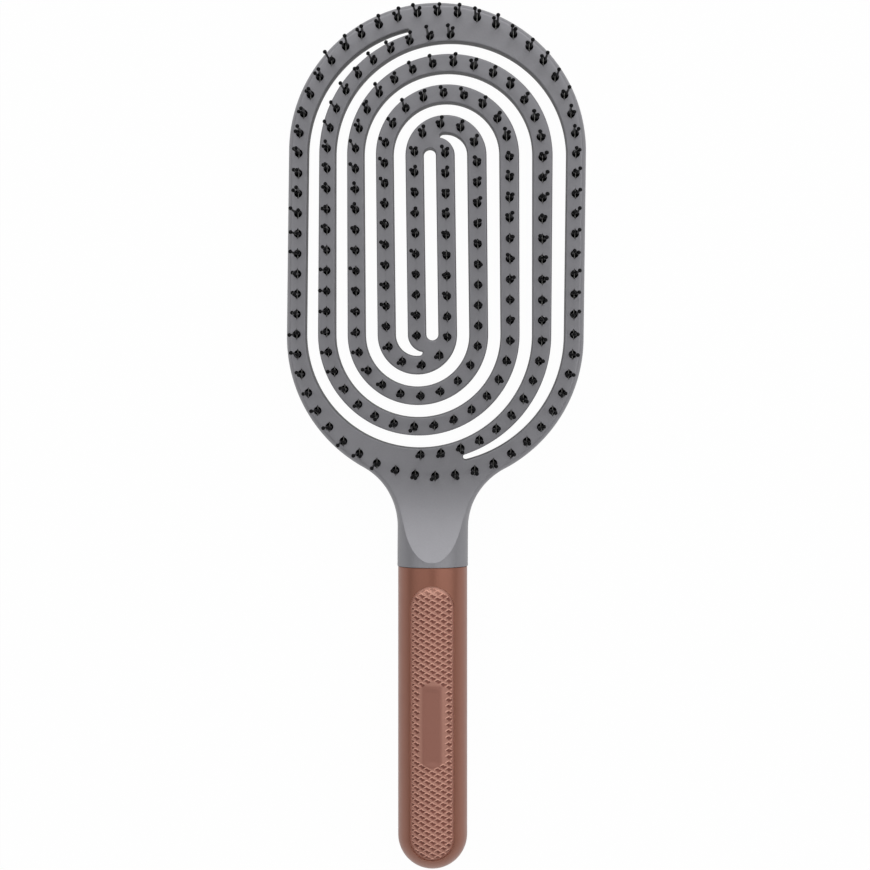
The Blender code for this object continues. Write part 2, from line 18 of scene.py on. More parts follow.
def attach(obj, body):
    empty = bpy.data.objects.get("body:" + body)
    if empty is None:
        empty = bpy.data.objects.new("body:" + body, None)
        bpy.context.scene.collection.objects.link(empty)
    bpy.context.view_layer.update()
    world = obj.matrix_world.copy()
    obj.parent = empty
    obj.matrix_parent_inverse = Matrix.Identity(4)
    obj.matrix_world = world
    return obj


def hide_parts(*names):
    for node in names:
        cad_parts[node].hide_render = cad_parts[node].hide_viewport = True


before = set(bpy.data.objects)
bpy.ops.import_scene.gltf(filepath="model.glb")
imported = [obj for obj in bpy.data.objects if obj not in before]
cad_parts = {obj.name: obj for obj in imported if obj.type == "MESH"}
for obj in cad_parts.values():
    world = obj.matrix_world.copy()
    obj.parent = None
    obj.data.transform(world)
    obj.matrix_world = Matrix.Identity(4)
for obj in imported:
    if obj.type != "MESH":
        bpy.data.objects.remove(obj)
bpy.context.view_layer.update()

MM = 0.001
SQUARE = ((-1, -1), (1, -1), (1, 1), (-1, 1))

# Sizes shared with the CAD part
HANDLE_LENGTH = 86.0
NECK_LENGTH = 22.7
RIM_WIDTH = 5.55
RIM_END_EXTRA = 0.92
CROWN_RISE = 0.45
PLATE_THICKNESS = 5.0
TURNS = 4
TURN_PITCH = 8.68
SLOT_WIDTH = 3.62
SLOT_HALF_STRAIGHT = 25.3
INNER_TIP_RADIUS = 0.7
LEAD_SHARE = 0.333
TAIL_SHARE = 0.22
COIL_SHIFT = -1.5
COIL_TWIST = math.radians(1.5)
COLLAR_STEP = 0.2
NECK_FILLET = 19.0
SCOOP_START = 1.3
SCOOP_LENGTH = 24.7
SCOOP_POWER = 1.5
SCOOP_TIP = 0.3
EDGE_BAND = 1.25
EDGE_ROUND_SHARE = 0.75
HEAD_LEAN = math.radians(0.7)
NECK_SWEEP_END = 24.0
NECK_RISE = math.radians(3.0)
LENGTH_ARCH = 1500.0
CROSS_ARCH = 2000.0
TANG_LENGTH = 38.0
TANG_LEAD = 2.0
TANG_TAPER = 0.8
SEAT_GAP = 0.3
HANDLE_RADIUS = 9.82
HANDLE_WALL = 2.82
PANEL_WIDTH = 12.9
PANEL_START = 5.0
PANEL_END = 3.2
PANEL_RECESS = 1.6
PANEL_SUNK = 0.45
PLAQUE_WIDTH = 4.4
PLAQUE_LENGTH = 22.0
PLAQUE_START = 33.8
RIM_TUFTS = 62
RIM_ROW_INSET = 3.0
RIM_ROW_SHIFT = 0.45
ARM_TUFTS = 74
ARM_TUFT_PITCH = 5.751
ARM_ROW_START = math.radians(89.8)
ARM_ROW_END = math.radians(25.0)
PIN_LENGTH = 14.0
SHORT_PIN_LENGTH = 8.0
LEG_SPACING = 0.95
LEG_SPREAD = 0.35
LEG_STRAY = 0.55
LENGTH_STRAY = 0.9
BALL_CROWN = 0.3
STRAY_SEED = 11
STRIP_OVERHANG = 1.5

HALF_PLATE = PLATE_THICKNESS / 2
RIM_INNER_RADIUS = TURNS * TURN_PITCH + SLOT_WIDTH / 2
RIM_RADIUS = RIM_INNER_RADIUS + RIM_WIDTH
RIM_HALF_STRAIGHT = SLOT_HALF_STRAIGHT + RIM_END_EXTRA
HEAD_CENTRE = NECK_LENGTH + RIM_RADIUS + RIM_HALF_STRAIGHT
RIM_LOW = HEAD_CENTRE - RIM_HALF_STRAIGHT
NECK_RADIUS = HANDLE_RADIUS + COLLAR_STEP
CAP_CENTRE = -(HANDLE_LENGTH - HANDLE_RADIUS)
PANEL_LENGTH = HANDLE_LENGTH - PANEL_START - PANEL_END
PANEL_MIDDLE = -(PANEL_START + PANEL_LENGTH / 2)
PLAQUE_MIDDLE = -(PLAQUE_START + PLAQUE_LENGTH / 2)
TANG_BORE = HANDLE_RADIUS - HANDLE_WALL
TANG_RADIUS = TANG_BORE - SEAT_GAP

# Head: tips of the leading slots (fuller than in the CAD part), steps of its curves, edges
OUTER_TIP_RADIUS = 0.78
ARC_STEP = 0.75
STRAIGHT_STEP = 2.4
STADIUM_STEP = 0.3
TAIL_OUTER_STEP = 0.4
TAIL_INNER_STEP = 0.3
TIP_STEPS = 8
NECK_STEPS = 26
NECK_STEP_POWER = 1.6
FILLET_STEP = 0.5
FLANK_STEPS = 10
SKIN = 0.008
SLOT_ROUND = 0.45
SLOT_BACK_ROUND = 0.25
SLOT_WALL_FROM = 4
PARTING_RIDGE = 0.07
PARTING_CREST = 0.05
PARTING_HALF = 0.12
PARTING_TILT = 0.05
EDGE_SOFT = 0.45
EDGE_SOFT_START = 3.0
EDGE_SOFT_LENGTH = 12.0
EDGE_SOFT_LEAST_SHARE = 0.15
COLLAR_LIP = 0.1
TANG_END_TURN = 0.4
SCOOP_ROWS = np.concatenate([np.arange(1.8, 8.0, 0.7), np.arange(8.0, 30.0, 1.3)])
SCOOP_SPACING = 1.3
CLIMBING_POINTS = 60

# Holes, pins and staples
HOLE_RADIUS = 1.1
HOLE_REACH = 1.58
HOLE_ARC = np.radians(np.linspace(-62, 62, 13))
HOLE_DEPTH = 2.9
HOLE_BEVEL = 0.1
# Depth below which the hole's walls are near-black, painted shade
HOLE_SHADE_DEPTH = 0.3
HOLE_WALL_FROM = 3
NOTCH_SIDE = [(0.25, 1.12), (0.12, 1.36)]
SHAFT_RADIUS = 0.32
BALL_RADIUS = 0.6
BALL_ANGLES = (8, 35, 62, 90, 118)
BALL_NECK = [(0.78, 0.40), (1.05, 0.335), (1.5, SHAFT_RADIUS)]
SHAFT_SHARES = (0.25, 0.5, 0.75, 1.0)
TUBE_SIDES = 8
LEG_X = 0.46
LEG_FOOT = 1.0
BOW_DEPTH = 2.05
BOW_THIN_SHARE = 0.95
BOW_POINTS = 7
STAPLE = (0.13, 1.48, 0.5)
STAPLE_BEVEL = 0.05
STAPLE_TOP = 0.75
STAPLE_SHARP = math.radians(30)

# Handle: edges, and the angles and distances at which its skin is divided
SEAM = 0.08
SHELL_LIP = 0.2
LIP_ANGLES = (22.5, 45, 67.5, 90)
LIP_ROUND = 0.16
RECESS_LIP_ANGLES = (18, 36, 54, 72, 90)
BORE_ANGLES = np.radians(np.arange(0, 76, 15))
LIP_DROP_SHARE = 0.9
PATCH_CLEAR = 0.35
FRONT = np.radians(np.arange(-60, 60.1, 5))
BACK = np.radians(np.arange(60, 300.1, 6))
AROUND = np.concatenate([FRONT, BACK[1:-1]])
DOWN = np.concatenate([[SEAM + SHELL_LIP], np.arange(2.0, 74.0, 3.0),
                       -CAP_CENTRE + HANDLE_RADIUS * np.radians(np.linspace(0, 86, 20))])
FLOOR_ROWS = np.arange(-84.0, -4.0, 1.6)
FLOOR_COLUMNS = 7
RECESS_GRID = (5.4, 0.8)

# Grip panel: fit, grid and ends
PANEL_FIT = 0.26
PANEL_INSET = 0.28
PANEL_HALF = PANEL_WIDTH / 2 - PANEL_INSET
PANEL_REACH = PANEL_LENGTH / 2 - PANEL_WIDTH / 2
PANEL_GRID = (5.2, PANEL_INSET + 0.6)
PANEL_STEP = 0.13
PANEL_COLUMNS = 101
COLUMN_BUNCH = 0.82
END_TURN_SHARE = 0.985
END_STRETCH = 1.35
END_DIP = 0.12
END_DIP_LENGTH = 3.4
END_FADE = 1.6
END_SHALLOW = 0.55
EDGE_CLEAR = 0.35
EDGE_FADE = 0.3
PLAQUE_RAMP = 1.5
PANEL_SHARP = math.radians(62)

# Lattice of the grip panel: star-shaped pits in staggered columns, measured from the joint
PIT_ACROSS = 3.092
PIT_ALONG = 1.773
PIT_ORIGIN = (0.22, -15.1)
PIT_STAR = [(0.84, 0.00), (0.17, 0.14), (-0.18, 0.46), (-0.46, 0.32), (-0.78, 0.18),
            (-0.46, -0.10), (-0.25, -0.21), (-0.04, -0.56), (0.39, -0.39)]
PIT_GROWTH = 0.13
PIT_DEPTH = 0.24
PIT_WALL = 0.2
BEAD_HEIGHT = 0.2
BEAD_PLACE = 0.25
BEAD_WIDTH = 0.12
BEAD_START = -0.1
BEAD_FADE = 0.4
PLAQUE_BARE = (3.45, 12.3)
PLAQUE_CORNER = 0.62
BARE_MARGIN = 0.2
BARE_FADE = 0.9

# How pale the grip is painted: all over, painted highlight on beads, painted shade in pits,
# painted light at its end, bare area and painted highlight on its rim
PALE_BASE = 0.32
BEAD_HIGHLIGHT = 0.68
PIT_SHADE = -0.32
END_LIGHT = 0.3
PALE_BARE = -0.17
RIM_HIGHLIGHT = 0.85
RIM_HIGHLIGHT_WIDTH = 0.3
RIM_HIGHLIGHT_FADE = 0.25
PALE_UNDER = 0.5

# Numbers of the head's further materials, both painted shade: in the holes and on the slot walls
HOLE_SHADE = 1
SLOT_WALL_SHADE = 2

# Surfaces: colour, roughness, metal, specular, and the grain's scale, detail, strength, depth and
# change of colour. The dark copy of the gunmetal paint on the walls of the slots is painted shade,
# and the near-black coat in the drilled holes is painted shade of the deep holes.
COATS = {
    "gunmetal_paint": ((0.315, 0.312, 0.333), 0.42, 0.32, 0.25, 2600, 4, 0.25, 4e-5, 0.08),
    "gunmetal_painted_wall_shade": ((0.062, 0.061, 0.065), 0.5, 0.3, 0.3, 2600, 4, 0.3, 5e-5, 0.15),
    "hole_painted_shade": ((0.012, 0.012, 0.013), 0.65, 0.0, 0.15, 5000, 2, 0.3, 4e-5, 0.1),
    "copper_lacquer_paint": ((0.330, 0.134, 0.089), 0.38, 0.4, 0.5, 3200, 4, 0.15, 3e-5, 0.06),
    "copper_grip_soft": ((0.60, 0.285, 0.205), 0.5, 0.2, 0.5, 3200, 3, 0.2, 3e-5, 0.06),
    "black_nylon_gloss": ((0.004, 0.004, 0.005), 0.36, 0.0, 0.12, 4000, 2, 0.1, 2e-5, 0.1),
    "staple_wire": ((0.30, 0.30, 0.29), 0.4, 1.0, 0.5, 5000, 2, 0.15, 2e-5, 0.05)}
BROAD_SCALE = 12
BROAD_DETAIL = 3.0
ROUGHNESS_VARY = 0.05
WHITE = (1.0, 1.0, 1.0, 1.0)

# The view: what lies straight under the camera and in the middle of the picture, from the joint
VIEW_FOOT = (15.132, 45.655, 3.97)
VIEW_MIDDLE = (0.752, 37.175, 3.97)
VIEW_HEIGHT = 620.0
VIEW_WIDTH = 245.9
SENSOR_WIDTH = 36.0

# Surroundings, in metres and watts. A lamp has name, place, aim, size across and along, power.
LAMPS = [("far_box", (0.0, 0.74, 0.74), (0.0, 0.0, 0.0), 1.2, 0.6, 5.8),
         ("left_box", (-0.523, 0.03, 0.67), (0.0, 0.0, 0.0), 0.45, 1.0, 1.2),
         ("right_box", (0.569, 0.03, 0.632), (0.0, 0.0, 0.0), 0.6, 1.0, 2.2),
         ("near_box", (0.0, -0.80, 0.50), (0.0, -0.05, 0.0), 0.9, 0.25, 1.8)]
FLOOR_REACH = 12.0
FLOOR_ROUGHNESS = 0.9
FLOOR_DIM = (0.15, 0.15, 0.15)
FLOOR_PALE = (0.85, 0.85, 0.85)
FLOOR_GLOW_SHARE = 0.98
SKY_STRENGTH = 0.12


# Curves of the plan, as arrays of points


def arc(cx, cy, radius, start, end, step=ARC_STEP):
    count = max(3, math.ceil(abs(end - start) * radius / step))
    angles = np.linspace(start, end, count + 1)
    return np.stack([cx + radius * np.cos(angles), cy + radius * np.sin(angles)], 1)


def run(first, last, step=STRAIGHT_STEP):
    count = max(1, math.ceil(np.linalg.norm(last - first) / step))
    shares = np.linspace(0, 1, count + 1)[1:-1, None]
    return first + (last - first) * shares


def chain(arcs, closed=False):
    """One line through the arcs, with evenly divided straight runs between them."""
    line = [arcs[0]]
    for following in arcs[1:]:
        line += [run(line[-1][-1], following[0]), following]
    if closed:
        line.append(run(line[-1][-1], arcs[0][0]))
    return np.concatenate(line)


def unit(vectors):
    return vectors / np.linalg.norm(vectors, axis=-1, keepdims=True)


def loop_normals(loop):
    """Unit normals to the right of the way a closed loop runs."""
    along = np.roll(loop, -1, 0) - np.roll(loop, 1, 0)
    out = np.stack([along[:, 1], -along[:, 0]], 1)
    return unit(out)


def area(loop):
    x, y = loop.T
    return 0.5 * np.sum(x * np.roll(y, -1) - np.roll(x, -1) * y)


def outward(loop):
    """The loop turned anticlockwise, with the normals that point out of it."""
    loop = loop if area(loop) > 0 else loop[::-1]
    return loop, loop_normals(loop)


def half_turn(turn, radius):
    """Half a turn of the spiral, round the near end if it is even and the far end if it is odd."""
    if turn % 2 == 0:
        return arc(-TURN_PITCH / 2, -SLOT_HALF_STRAIGHT, radius, math.pi, 2 * math.pi)
    return arc(TURN_PITCH / 2, SLOT_HALF_STRAIGHT, radius, 0.0, math.pi)


def spiral_turns(offset):
    return [half_turn(turn, (TURNS - 0.5 - turn) * TURN_PITCH + offset)
            for turn in range(TURNS - 1)]


def end_points(outer_x, outer_radius, inner_x, inner_radius, tip_radius):
    """Where a narrowing slot is two tip radii wide: point and angle on either side."""
    apart = outer_x - inner_x
    reach = inner_radius + 2 * tip_radius
    cosine = (reach**2 - outer_radius**2 - apart**2) / (2 * outer_radius * apart)
    outer_angle = math.acos(cosine)
    outer = np.array([outer_x + outer_radius * cosine,
                      SLOT_HALF_STRAIGHT + outer_radius * math.sin(outer_angle)])
    centre = np.array([inner_x, SLOT_HALF_STRAIGHT])
    away = outer - centre
    inner = centre + away * inner_radius / np.linalg.norm(away)
    return outer_angle, outer, math.atan2(away[1], away[0]), inner


def tip_arc(start, end, outwards):
    middle = (start + end) / 2
    half = start - middle
    bulge = np.array(outwards) / np.linalg.norm(outwards) * np.linalg.norm(half)
    angles = np.linspace(0, math.pi, TIP_STEPS + 1)[1:-1, None]
    return middle + half * np.cos(angles) + bulge * np.sin(angles)


def high_arc(x, radius, start, end, step=ARC_STEP):
    return arc(x, SLOT_HALF_STRAIGHT, radius, start, end, step)


def slot_loop():
    """Closed outline of one spiral slot about the middle of the head."""
    half = SLOT_WIDTH / 2
    lead_out = (0.0, TURNS * TURN_PITCH + half)
    lead_in = (LEAD_SHARE * TURN_PITCH, (TURNS + LEAD_SHARE) * TURN_PITCH - half)
    tail_out = (TURN_PITCH / 2, TURN_PITCH / 2 + half)
    tail_in = (TAIL_SHARE * TURN_PITCH, (1 - TAIL_SHARE) * TURN_PITCH - half)
    lead = end_points(*lead_out, *lead_in, OUTER_TIP_RADIUS)
    tail = end_points(*tail_out, *tail_in, INNER_TIP_RADIUS)
    outer = chain([high_arc(*lead_out, lead[0], math.pi)] + spiral_turns(half)
                  + [high_arc(*tail_out, 0.0, tail[0], TAIL_OUTER_STEP)])
    inner = chain([high_arc(*lead_in, lead[2], math.pi)] + spiral_turns(-half)
                  + [high_arc(*tail_in, 0.0, tail[2], TAIL_INNER_STEP)])
    tail_end = tip_arc(tail[1], tail[3], (-math.sin(tail[0]), math.cos(tail[0])))
    lead_end = tip_arc(lead[3], lead[1], (math.sin(lead[0]), -math.cos(lead[0])))
    return np.concatenate([outer, tail_end, inner[::-1], lead_end])


def stadium(radius, half_straight):
    top = arc(0.0, half_straight, radius, 0.0, math.pi, STADIUM_STEP)
    bottom = arc(0.0, -half_straight, radius, math.pi, 2 * math.pi, STADIUM_STEP)
    return chain([top, bottom], closed=True)


def crown():
    """Right half of the round far end of the head, with its normals."""
    centre = (0.0, HEAD_CENTRE + RIM_HALF_STRAIGHT + CROWN_RISE)
    points = arc(*centre, RIM_RADIUS, 0.0, math.pi / 2)
    return points, (points - centre) / RIM_RADIUS


def mirrored(line):
    return line[:-1][::-1] * (-1, 1)


def head_outline():
    """Outer outline of neck and head and its normals, from the right of the neck to its left."""
    fillet_x = NECK_RADIUS + NECK_FILLET
    reach = RIM_RADIUS + NECK_FILLET
    fillet_y = RIM_LOW - math.sqrt(reach**2 - fillet_x**2)
    lean = math.atan2(RIM_LOW - fillet_y, -fillet_x)
    shares = (np.arange(NECK_STEPS) / NECK_STEPS) ** NECK_STEP_POWER
    rises = SCOOP_START + (fillet_y - SCOOP_START) * shares
    neck = np.stack([np.full_like(rises, NECK_RADIUS), rises], 1)
    fillet = arc(fillet_x, fillet_y, NECK_FILLET, math.pi, lean, FILLET_STEP)
    low = arc(0.0, RIM_LOW, RIM_RADIUS, lean - math.pi, 0.0)[1:]
    high, high_normals = crown()
    straight = run(low[-1], high[0])
    normals = [np.tile((1.0, 0.0), (len(neck), 1)),
               ((fillet_x, fillet_y) - fillet) / NECK_FILLET,
               (low - (0.0, RIM_LOW)) / RIM_RADIUS,
               np.tile((1.0, 0.0), (len(straight), 1)),
               high_normals]
    right_normals = np.concatenate(normals)
    right = np.concatenate([neck, fillet, low, straight, high]) - right_normals * SKIN
    return (np.concatenate([right, mirrored(right)]),
            np.concatenate([right_normals, mirrored(right_normals)]))


def rim_row():
    points, normals = crown()
    top = np.concatenate([points, mirrored(points)])
    top_normals = np.concatenate([normals, mirrored(normals)])
    low = arc(0.0, RIM_LOW, RIM_RADIUS - RIM_ROW_INSET, math.pi, 2 * math.pi)
    return chain([top - top_normals * RIM_ROW_INSET, low], closed=True), points, normals


def arm_row():
    share = (LEAD_SHARE + 0.5) / 2
    start = ARM_ROW_START - STRIP_OVERHANG / (TURNS * TURN_PITCH)
    arcs = [high_arc(share * TURN_PITCH, (TURNS - 0.5 + share) * TURN_PITCH, start, math.pi)]
    arcs += [half_turn(turn, (TURNS - 1 - turn) * TURN_PITCH) for turn in range(TURNS - 1)]
    arcs.append(high_arc(0.0, TURN_PITCH / 2, 0.0, ARM_ROW_END))
    return chain(arcs)


def spaced(line, start, pitch, count):
    """Evenly spaced points along a line."""
    lengths = np.concatenate([[0.0], np.cumsum(np.linalg.norm(np.diff(line, axis=0), axis=1))])
    wanted = start + pitch * np.arange(count)
    return np.stack([np.interp(wanted, lengths, line[:, axis]) for axis in (0, 1)], 1)


def length_of(line):
    return np.linalg.norm(np.diff(line, axis=0), axis=1).sum()


def tuft_places():
    """Places of the tufts of the three rows, by name of their CAD node."""
    ring, points, normals = rim_row()
    ring = np.concatenate([ring, ring[:1]])
    pitch = length_of(ring) / RIM_TUFTS
    past_tip = length_of(points - normals * RIM_ROW_INSET) + RIM_ROW_SHIFT
    arm = spaced(arm_row(), STRIP_OVERHANG, ARM_TUFT_PITCH, ARM_TUFTS)
    return {"rim_tufts": spaced(ring, past_tip % pitch, pitch, RIM_TUFTS),
            "first_arm_tufts": arm + (0.0, HEAD_CENTRE),
            "second_arm_tufts": -arm + (0.0, HEAD_CENTRE)}


# From the flat drawing to the real head


def at_height(line, height):
    return np.concatenate([line, np.broadcast_to(np.reshape(height, (-1, 1)), (len(line), 1))], 1)


def spine(along):
    sweep = (NECK_SWEEP_END - SCOOP_START) / NECK_RISE
    slope = np.clip(along - SCOOP_START, 0.0, NECK_SWEEP_END - SCOOP_START) / sweep
    y = np.where(along < SCOOP_START, along, SCOOP_START + sweep * np.sin(slope))
    z = sweep * (1 - np.cos(slope))
    past = np.maximum(along - NECK_SWEEP_END, 0.0)
    tilt = slope - past / LENGTH_ARCH
    y = y + LENGTH_ARCH * (np.sin(slope) - np.sin(tilt))
    z = z + LENGTH_ARCH * (np.cos(tilt) - np.cos(slope))
    return y, z, tilt


def bend(points):
    across, along, up = points.T
    along = along - HEAD_CENTRE
    past = np.maximum(np.abs(along) - SLOT_HALF_STRAIGHT, 0.0)
    hold = np.maximum(1 - (across**2 + past**2) / RIM_INNER_RADIUS**2, 0.0)
    turn = COIL_TWIST * hold
    across, along = (across * np.cos(turn) - along * np.sin(turn) + COIL_SHIFT * hold,
                     across * np.sin(turn) + along * np.cos(turn) + HEAD_CENTRE)
    arch = np.clip((along - SCOOP_START) / (NECK_SWEEP_END - SCOOP_START), 0.0, 1.0)
    tilt = arch * across / CROSS_ARCH
    drop = tilt * across / 2
    lean = arch * HEAD_LEAN
    across, along = (across * np.cos(lean) + along * np.sin(lean),
                     along * np.cos(lean) - across * np.sin(lean))
    y, z, slope = spine(along)
    return np.stack([across + up * tilt, y - up * np.sin(slope), z + up * np.cos(slope) - drop], 1)


def origin():
    """Where the joint between neck and handle lies in the frame."""
    flat = at_height(head_outline()[0], 0.0)
    middle = bend(np.array([[0.0, HEAD_CENTRE, 0.0]]))[0, 0] - COIL_SHIFT
    tip = bend(flat)[:, 1].max()
    return np.array([-middle, (HANDLE_LENGTH - tip) / 2, NECK_RADIUS])


ORIGIN = origin()


def bent_normals(points, normals):
    """Normals of the flat drawing carried onto the bent head."""
    step = 0.01
    columns = []
    for axis in range(3):
        shift = np.zeros(3)
        shift[axis] = step
        columns.append((bend(points + shift) - bend(points - shift)) / (2 * step))
    jacobian = np.stack(columns, 2)
    carried = np.linalg.solve(np.transpose(jacobian, (0, 2, 1)), normals[:, :, None])[:, :, 0]
    return unit(carried)


# Meshes


class Shape:
    """Collects points and faces, with a normal for every corner of a face."""

    def __init__(self):
        self.points = []
        self.faces = []
        self.normals = []
        self.materials = []

    def add(self, points):
        first = len(self.points)
        self.points.extend(np.asarray(points, float))
        return np.arange(first, len(self.points))

    def polygons(self, indices, normals=None, material=0):
        """Faces as rows of point numbers, with normals of the same shape if they are kept."""
        if normals is None:
            normals = np.zeros((*np.shape(indices), 3))
        self.faces += [[int(index) for index in row] for row in indices]
        self.normals += [np.asarray(row, float) for row in normals]
        self.materials += [material] * len(indices)

    def bridge(self, first, second, first_normals=None, second_normals=None, closed=True,
               material=0):
        """Band of four-sided faces between two lines of as many points."""
        pairs = [(first, second)]
        if first_normals is not None:
            pairs.append((first_normals, second_normals))
        if closed:
            pairs = [[np.concatenate([line, line[:1]]) for line in pair] for pair in pairs]
        quads = [np.stack([a[:-1], a[1:], b[1:], b[:-1]], 1) for a, b in pairs]
        self.polygons(*quads, material=material)

    def wall(self, ring, ring_normals, steps):
        """Bands from a closed ring on through further rings, given as (points, normals)."""
        for points, normals in steps:
            index = self.add(points)
            self.bridge(ring, index, ring_normals, normals)
            ring, ring_normals = index, normals
        return ring, ring_normals

    def fan(self, ring, ring_normals, pole, facing):
        """Triangles from a closed ring to one point."""
        tip = self.add([pole])[0]
        rows = np.stack([ring, np.roll(ring, -1), np.full_like(ring, tip)], 1)
        facings = np.tile(facing, (len(ring), 1))
        self.polygons(rows, np.stack([ring_normals, np.roll(ring_normals, -1, 0), facings], 1))

    def make(self, name, materials, bent):
        """The mesh as an object. A shape without normals is closed, and its faces look out."""
        points = np.array(self.points)
        normals = np.concatenate(self.normals)
        keep_normals = normals.any()
        if bent and keep_normals:
            normals = bent_normals(points[np.concatenate(self.faces)], normals)
        if bent:
            points = bend(points)
        faces = self.faces
        if keep_normals:
            ends = np.cumsum([len(face) for face in faces])[:-1]
            faces, normals = turned_along(points, faces, np.split(normals, ends))
        mesh = bpy.data.meshes.new(name)
        mesh.from_pydata(((points + ORIGIN) * MM).tolist(), [], faces)
        for material in materials:
            mesh.materials.append(material)
        mesh.polygons.foreach_set("material_index", self.materials)
        if not keep_normals:
            face_outwards(mesh)
        mesh.shade_smooth()
        if keep_normals:
            mesh.normals_split_custom_set(normals.tolist())
        return add_object(name, mesh)


def add_object(name, data):
    made = bpy.data.objects.new(name, data)
    bpy.context.scene.collection.objects.link(made)
    return made


def turned_along(points, faces, normals):
    """The faces, each turned to run with the normals of its corners, and all their normals."""
    turned = []
    for face, own in zip(faces, normals):
        spokes = points[face[1:]] - points[face[0]]
        way = np.dot(np.cross(spokes[:-1], spokes[1:]).sum(0), own.sum(0))
        turned.append((face[::-1], own[::-1]) if way < 0 else (face, own))
    return [face for face, _ in turned], np.concatenate([own for _, own in turned])


def face_outwards(mesh):
    """Makes all the faces of closed forms look out."""
    work = bmesh.new()
    work.from_mesh(mesh)
    bmesh.ops.recalc_face_normals(work, faces=work.faces)
    work.to_mesh(mesh)
    work.free()


def inside_all(points, loops, chunk=2000):
    """Even-odd test of points against all the loops together."""
    starts = np.concatenate(loops)
    ends = np.concatenate([np.roll(loop, -1, 0) for loop in loops])
    odd = np.zeros(len(points), bool)
    for first in range(0, len(points), chunk):
        x = points[first:first + chunk, 0][:, None]
        y = points[first:first + chunk, 1][:, None]
        spans = (starts[:, 1] > y) != (ends[:, 1] > y)
        with np.errstate(divide="ignore", invalid="ignore"):
            crossing = starts[:, 0] + (y - starts[:, 1]) * (ends[:, 0] - starts[:, 0]) / (
                ends[:, 1] - starts[:, 1])
        odd[first:first + chunk] = (spans & (x < crossing)).sum(1) % 2 == 1
    return odd


def triangulate(loops, extra=None):
    """Triangles between closed loops; extra points divide the face further."""
    points = np.concatenate(loops + ([extra] if extra is not None and len(extra) else []))
    edges = []
    for loop in loops:
        first = len(edges)
        edges += [(first + i, first + (i + 1) % len(loop)) for i in range(len(loop))]
    plan = [Vector((float(x), float(y))) for x, y in points]
    found = delaunay_2d_cdt(plan, edges, [], 0, 1e-5)
    back = np.array([origins[0] if origins else -1 for origins in found[3]])
    triangles = back[np.array([list(t) for t in found[2] if len(t) == 3])]
    triangles = triangles[(triangles >= 0).all(1)]
    middles = points[triangles].mean(1)
    return triangles[inside_all(middles, loops)]


# The head


def edge_section(along):
    share = np.clip((along - SCOOP_START) / SCOOP_LENGTH, 0.0, 1.0)
    full = math.sqrt(NECK_RADIUS**2 - SCOOP_TIP**2)
    top = HALF_PLATE + (full - HALF_PLATE) * (1 - share) ** SCOOP_POWER
    round_band = NECK_RADIUS - np.sqrt(NECK_RADIUS**2 - top**2)
    round_share = np.maximum((top / NECK_RADIUS) ** 2, EDGE_ROUND_SHARE)
    return top, np.maximum(round_band, EDGE_BAND), round_share


def top_normals(along):
    """Normals of the front face, which slopes down the scoop of the neck."""
    step = 0.02
    rise = (edge_section(along + step)[0] - edge_section(along - step)[0]) / (2 * step)
    return unit(np.stack([np.zeros_like(rise), -rise, np.ones_like(rise)], 1))


def grid_normals(grid):
    """Normals of a grid of points, first axis down the flank, second along the outline."""
    down = np.gradient(grid, axis=0)
    along = np.gradient(grid, axis=1)
    normals = np.cross(along, -down)
    return normals / np.maximum(np.linalg.norm(normals, axis=2, keepdims=True), 1e-9)


def flank_grid(outline, out):
    top, band, round_share = edge_section(outline[:, 1])
    rows = []
    for angle in np.linspace(math.pi / 2, -math.pi / 2, 2 * FLANK_STEPS + 1):
        level = math.sin(angle)
        full = 1 - np.sqrt(1 - round_share)
        inset = band * (1 - np.sqrt(1 - round_share * level**2)) / full
        rows.append(at_height(outline - out * inset[:, None], top * level))
    return np.stack(rows)


def rounding(radius, angles):
    """Steps round an edge: how far they lie off its two faces, and both parts of the normal."""
    steps = []
    for angle in np.radians(angles):
        sine, cosine = math.sin(angle), math.cos(angle)
        steps.append((radius * (1 - sine), radius * (1 - cosine), sine, cosine))
    return steps


def tuft_hole():
    """Outline of a drilled hole about its centre, with the two notches that the wire cuts."""
    half = [(HOLE_RADIUS * math.cos(a), HOLE_RADIUS * math.sin(a)) for a in HOLE_ARC]
    notch = NOTCH_SIDE + [(0.0, HOLE_REACH)] + [(-x, y) for x, y in NOTCH_SIDE[::-1]]
    right = np.array(half + notch)
    return np.concatenate([right, -right])


def add_front_opening(shape, loop, out, profile, wall_from, wall_material):
    """Rings of an opening's wall, from the front face inwards, as lists of point numbers.

    The profile holds (grow, down, and the normal's parts inwards and up). From the step numbered
    wall_from on, the wall has a material of its own.
    """
    rings = []
    for grow, down, inwards, up in profile:
        index = shape.add(at_height(loop + out * grow, HALF_PLATE - down))
        rings.append((index, unit(at_height(-out * inwards, up))))
    for step, ((a, na), (b, nb)) in enumerate(zip(rings, rings[1:])):
        shape.bridge(a, b, na, nb, material=wall_material if step >= wall_from else 0)
    return [index for index, _ in rings]


def slot_profile():
    """Section of a slot's wall: rounded front edge, faint ridge at mid height, rounded back."""
    steps = rounding(SLOT_ROUND, np.linspace(0, 90, 6))
    steps.append((-PARTING_RIDGE, HALF_PLATE - PARTING_HALF, 1.0, PARTING_TILT))
    steps.append((-PARTING_RIDGE - PARTING_CREST, HALF_PLATE, 1.0, 0.0))
    steps.append((-PARTING_RIDGE, HALF_PLATE + PARTING_HALF, 1.0, -PARTING_TILT))
    for grow, up, inwards, back in rounding(SLOT_BACK_ROUND, np.linspace(90, 0, 5)):
        steps.append((grow, PLATE_THICKNESS - up, inwards, -back))
    return steps


def scoop_points(edge):
    """Extra points over the scoop, so that it curves, between the two sides of the neck."""
    climb = edge[:CLIMBING_POINTS]
    points = []
    for y in SCOOP_ROWS:
        reach = np.interp(y, climb[:, 1], climb[:, 0])
        spread = max(3, int(reach / SCOOP_SPACING))
        points += [(x, y) for x in np.linspace(-reach, reach, 2 * spread + 1)[1:-1]]
    return np.array(points)


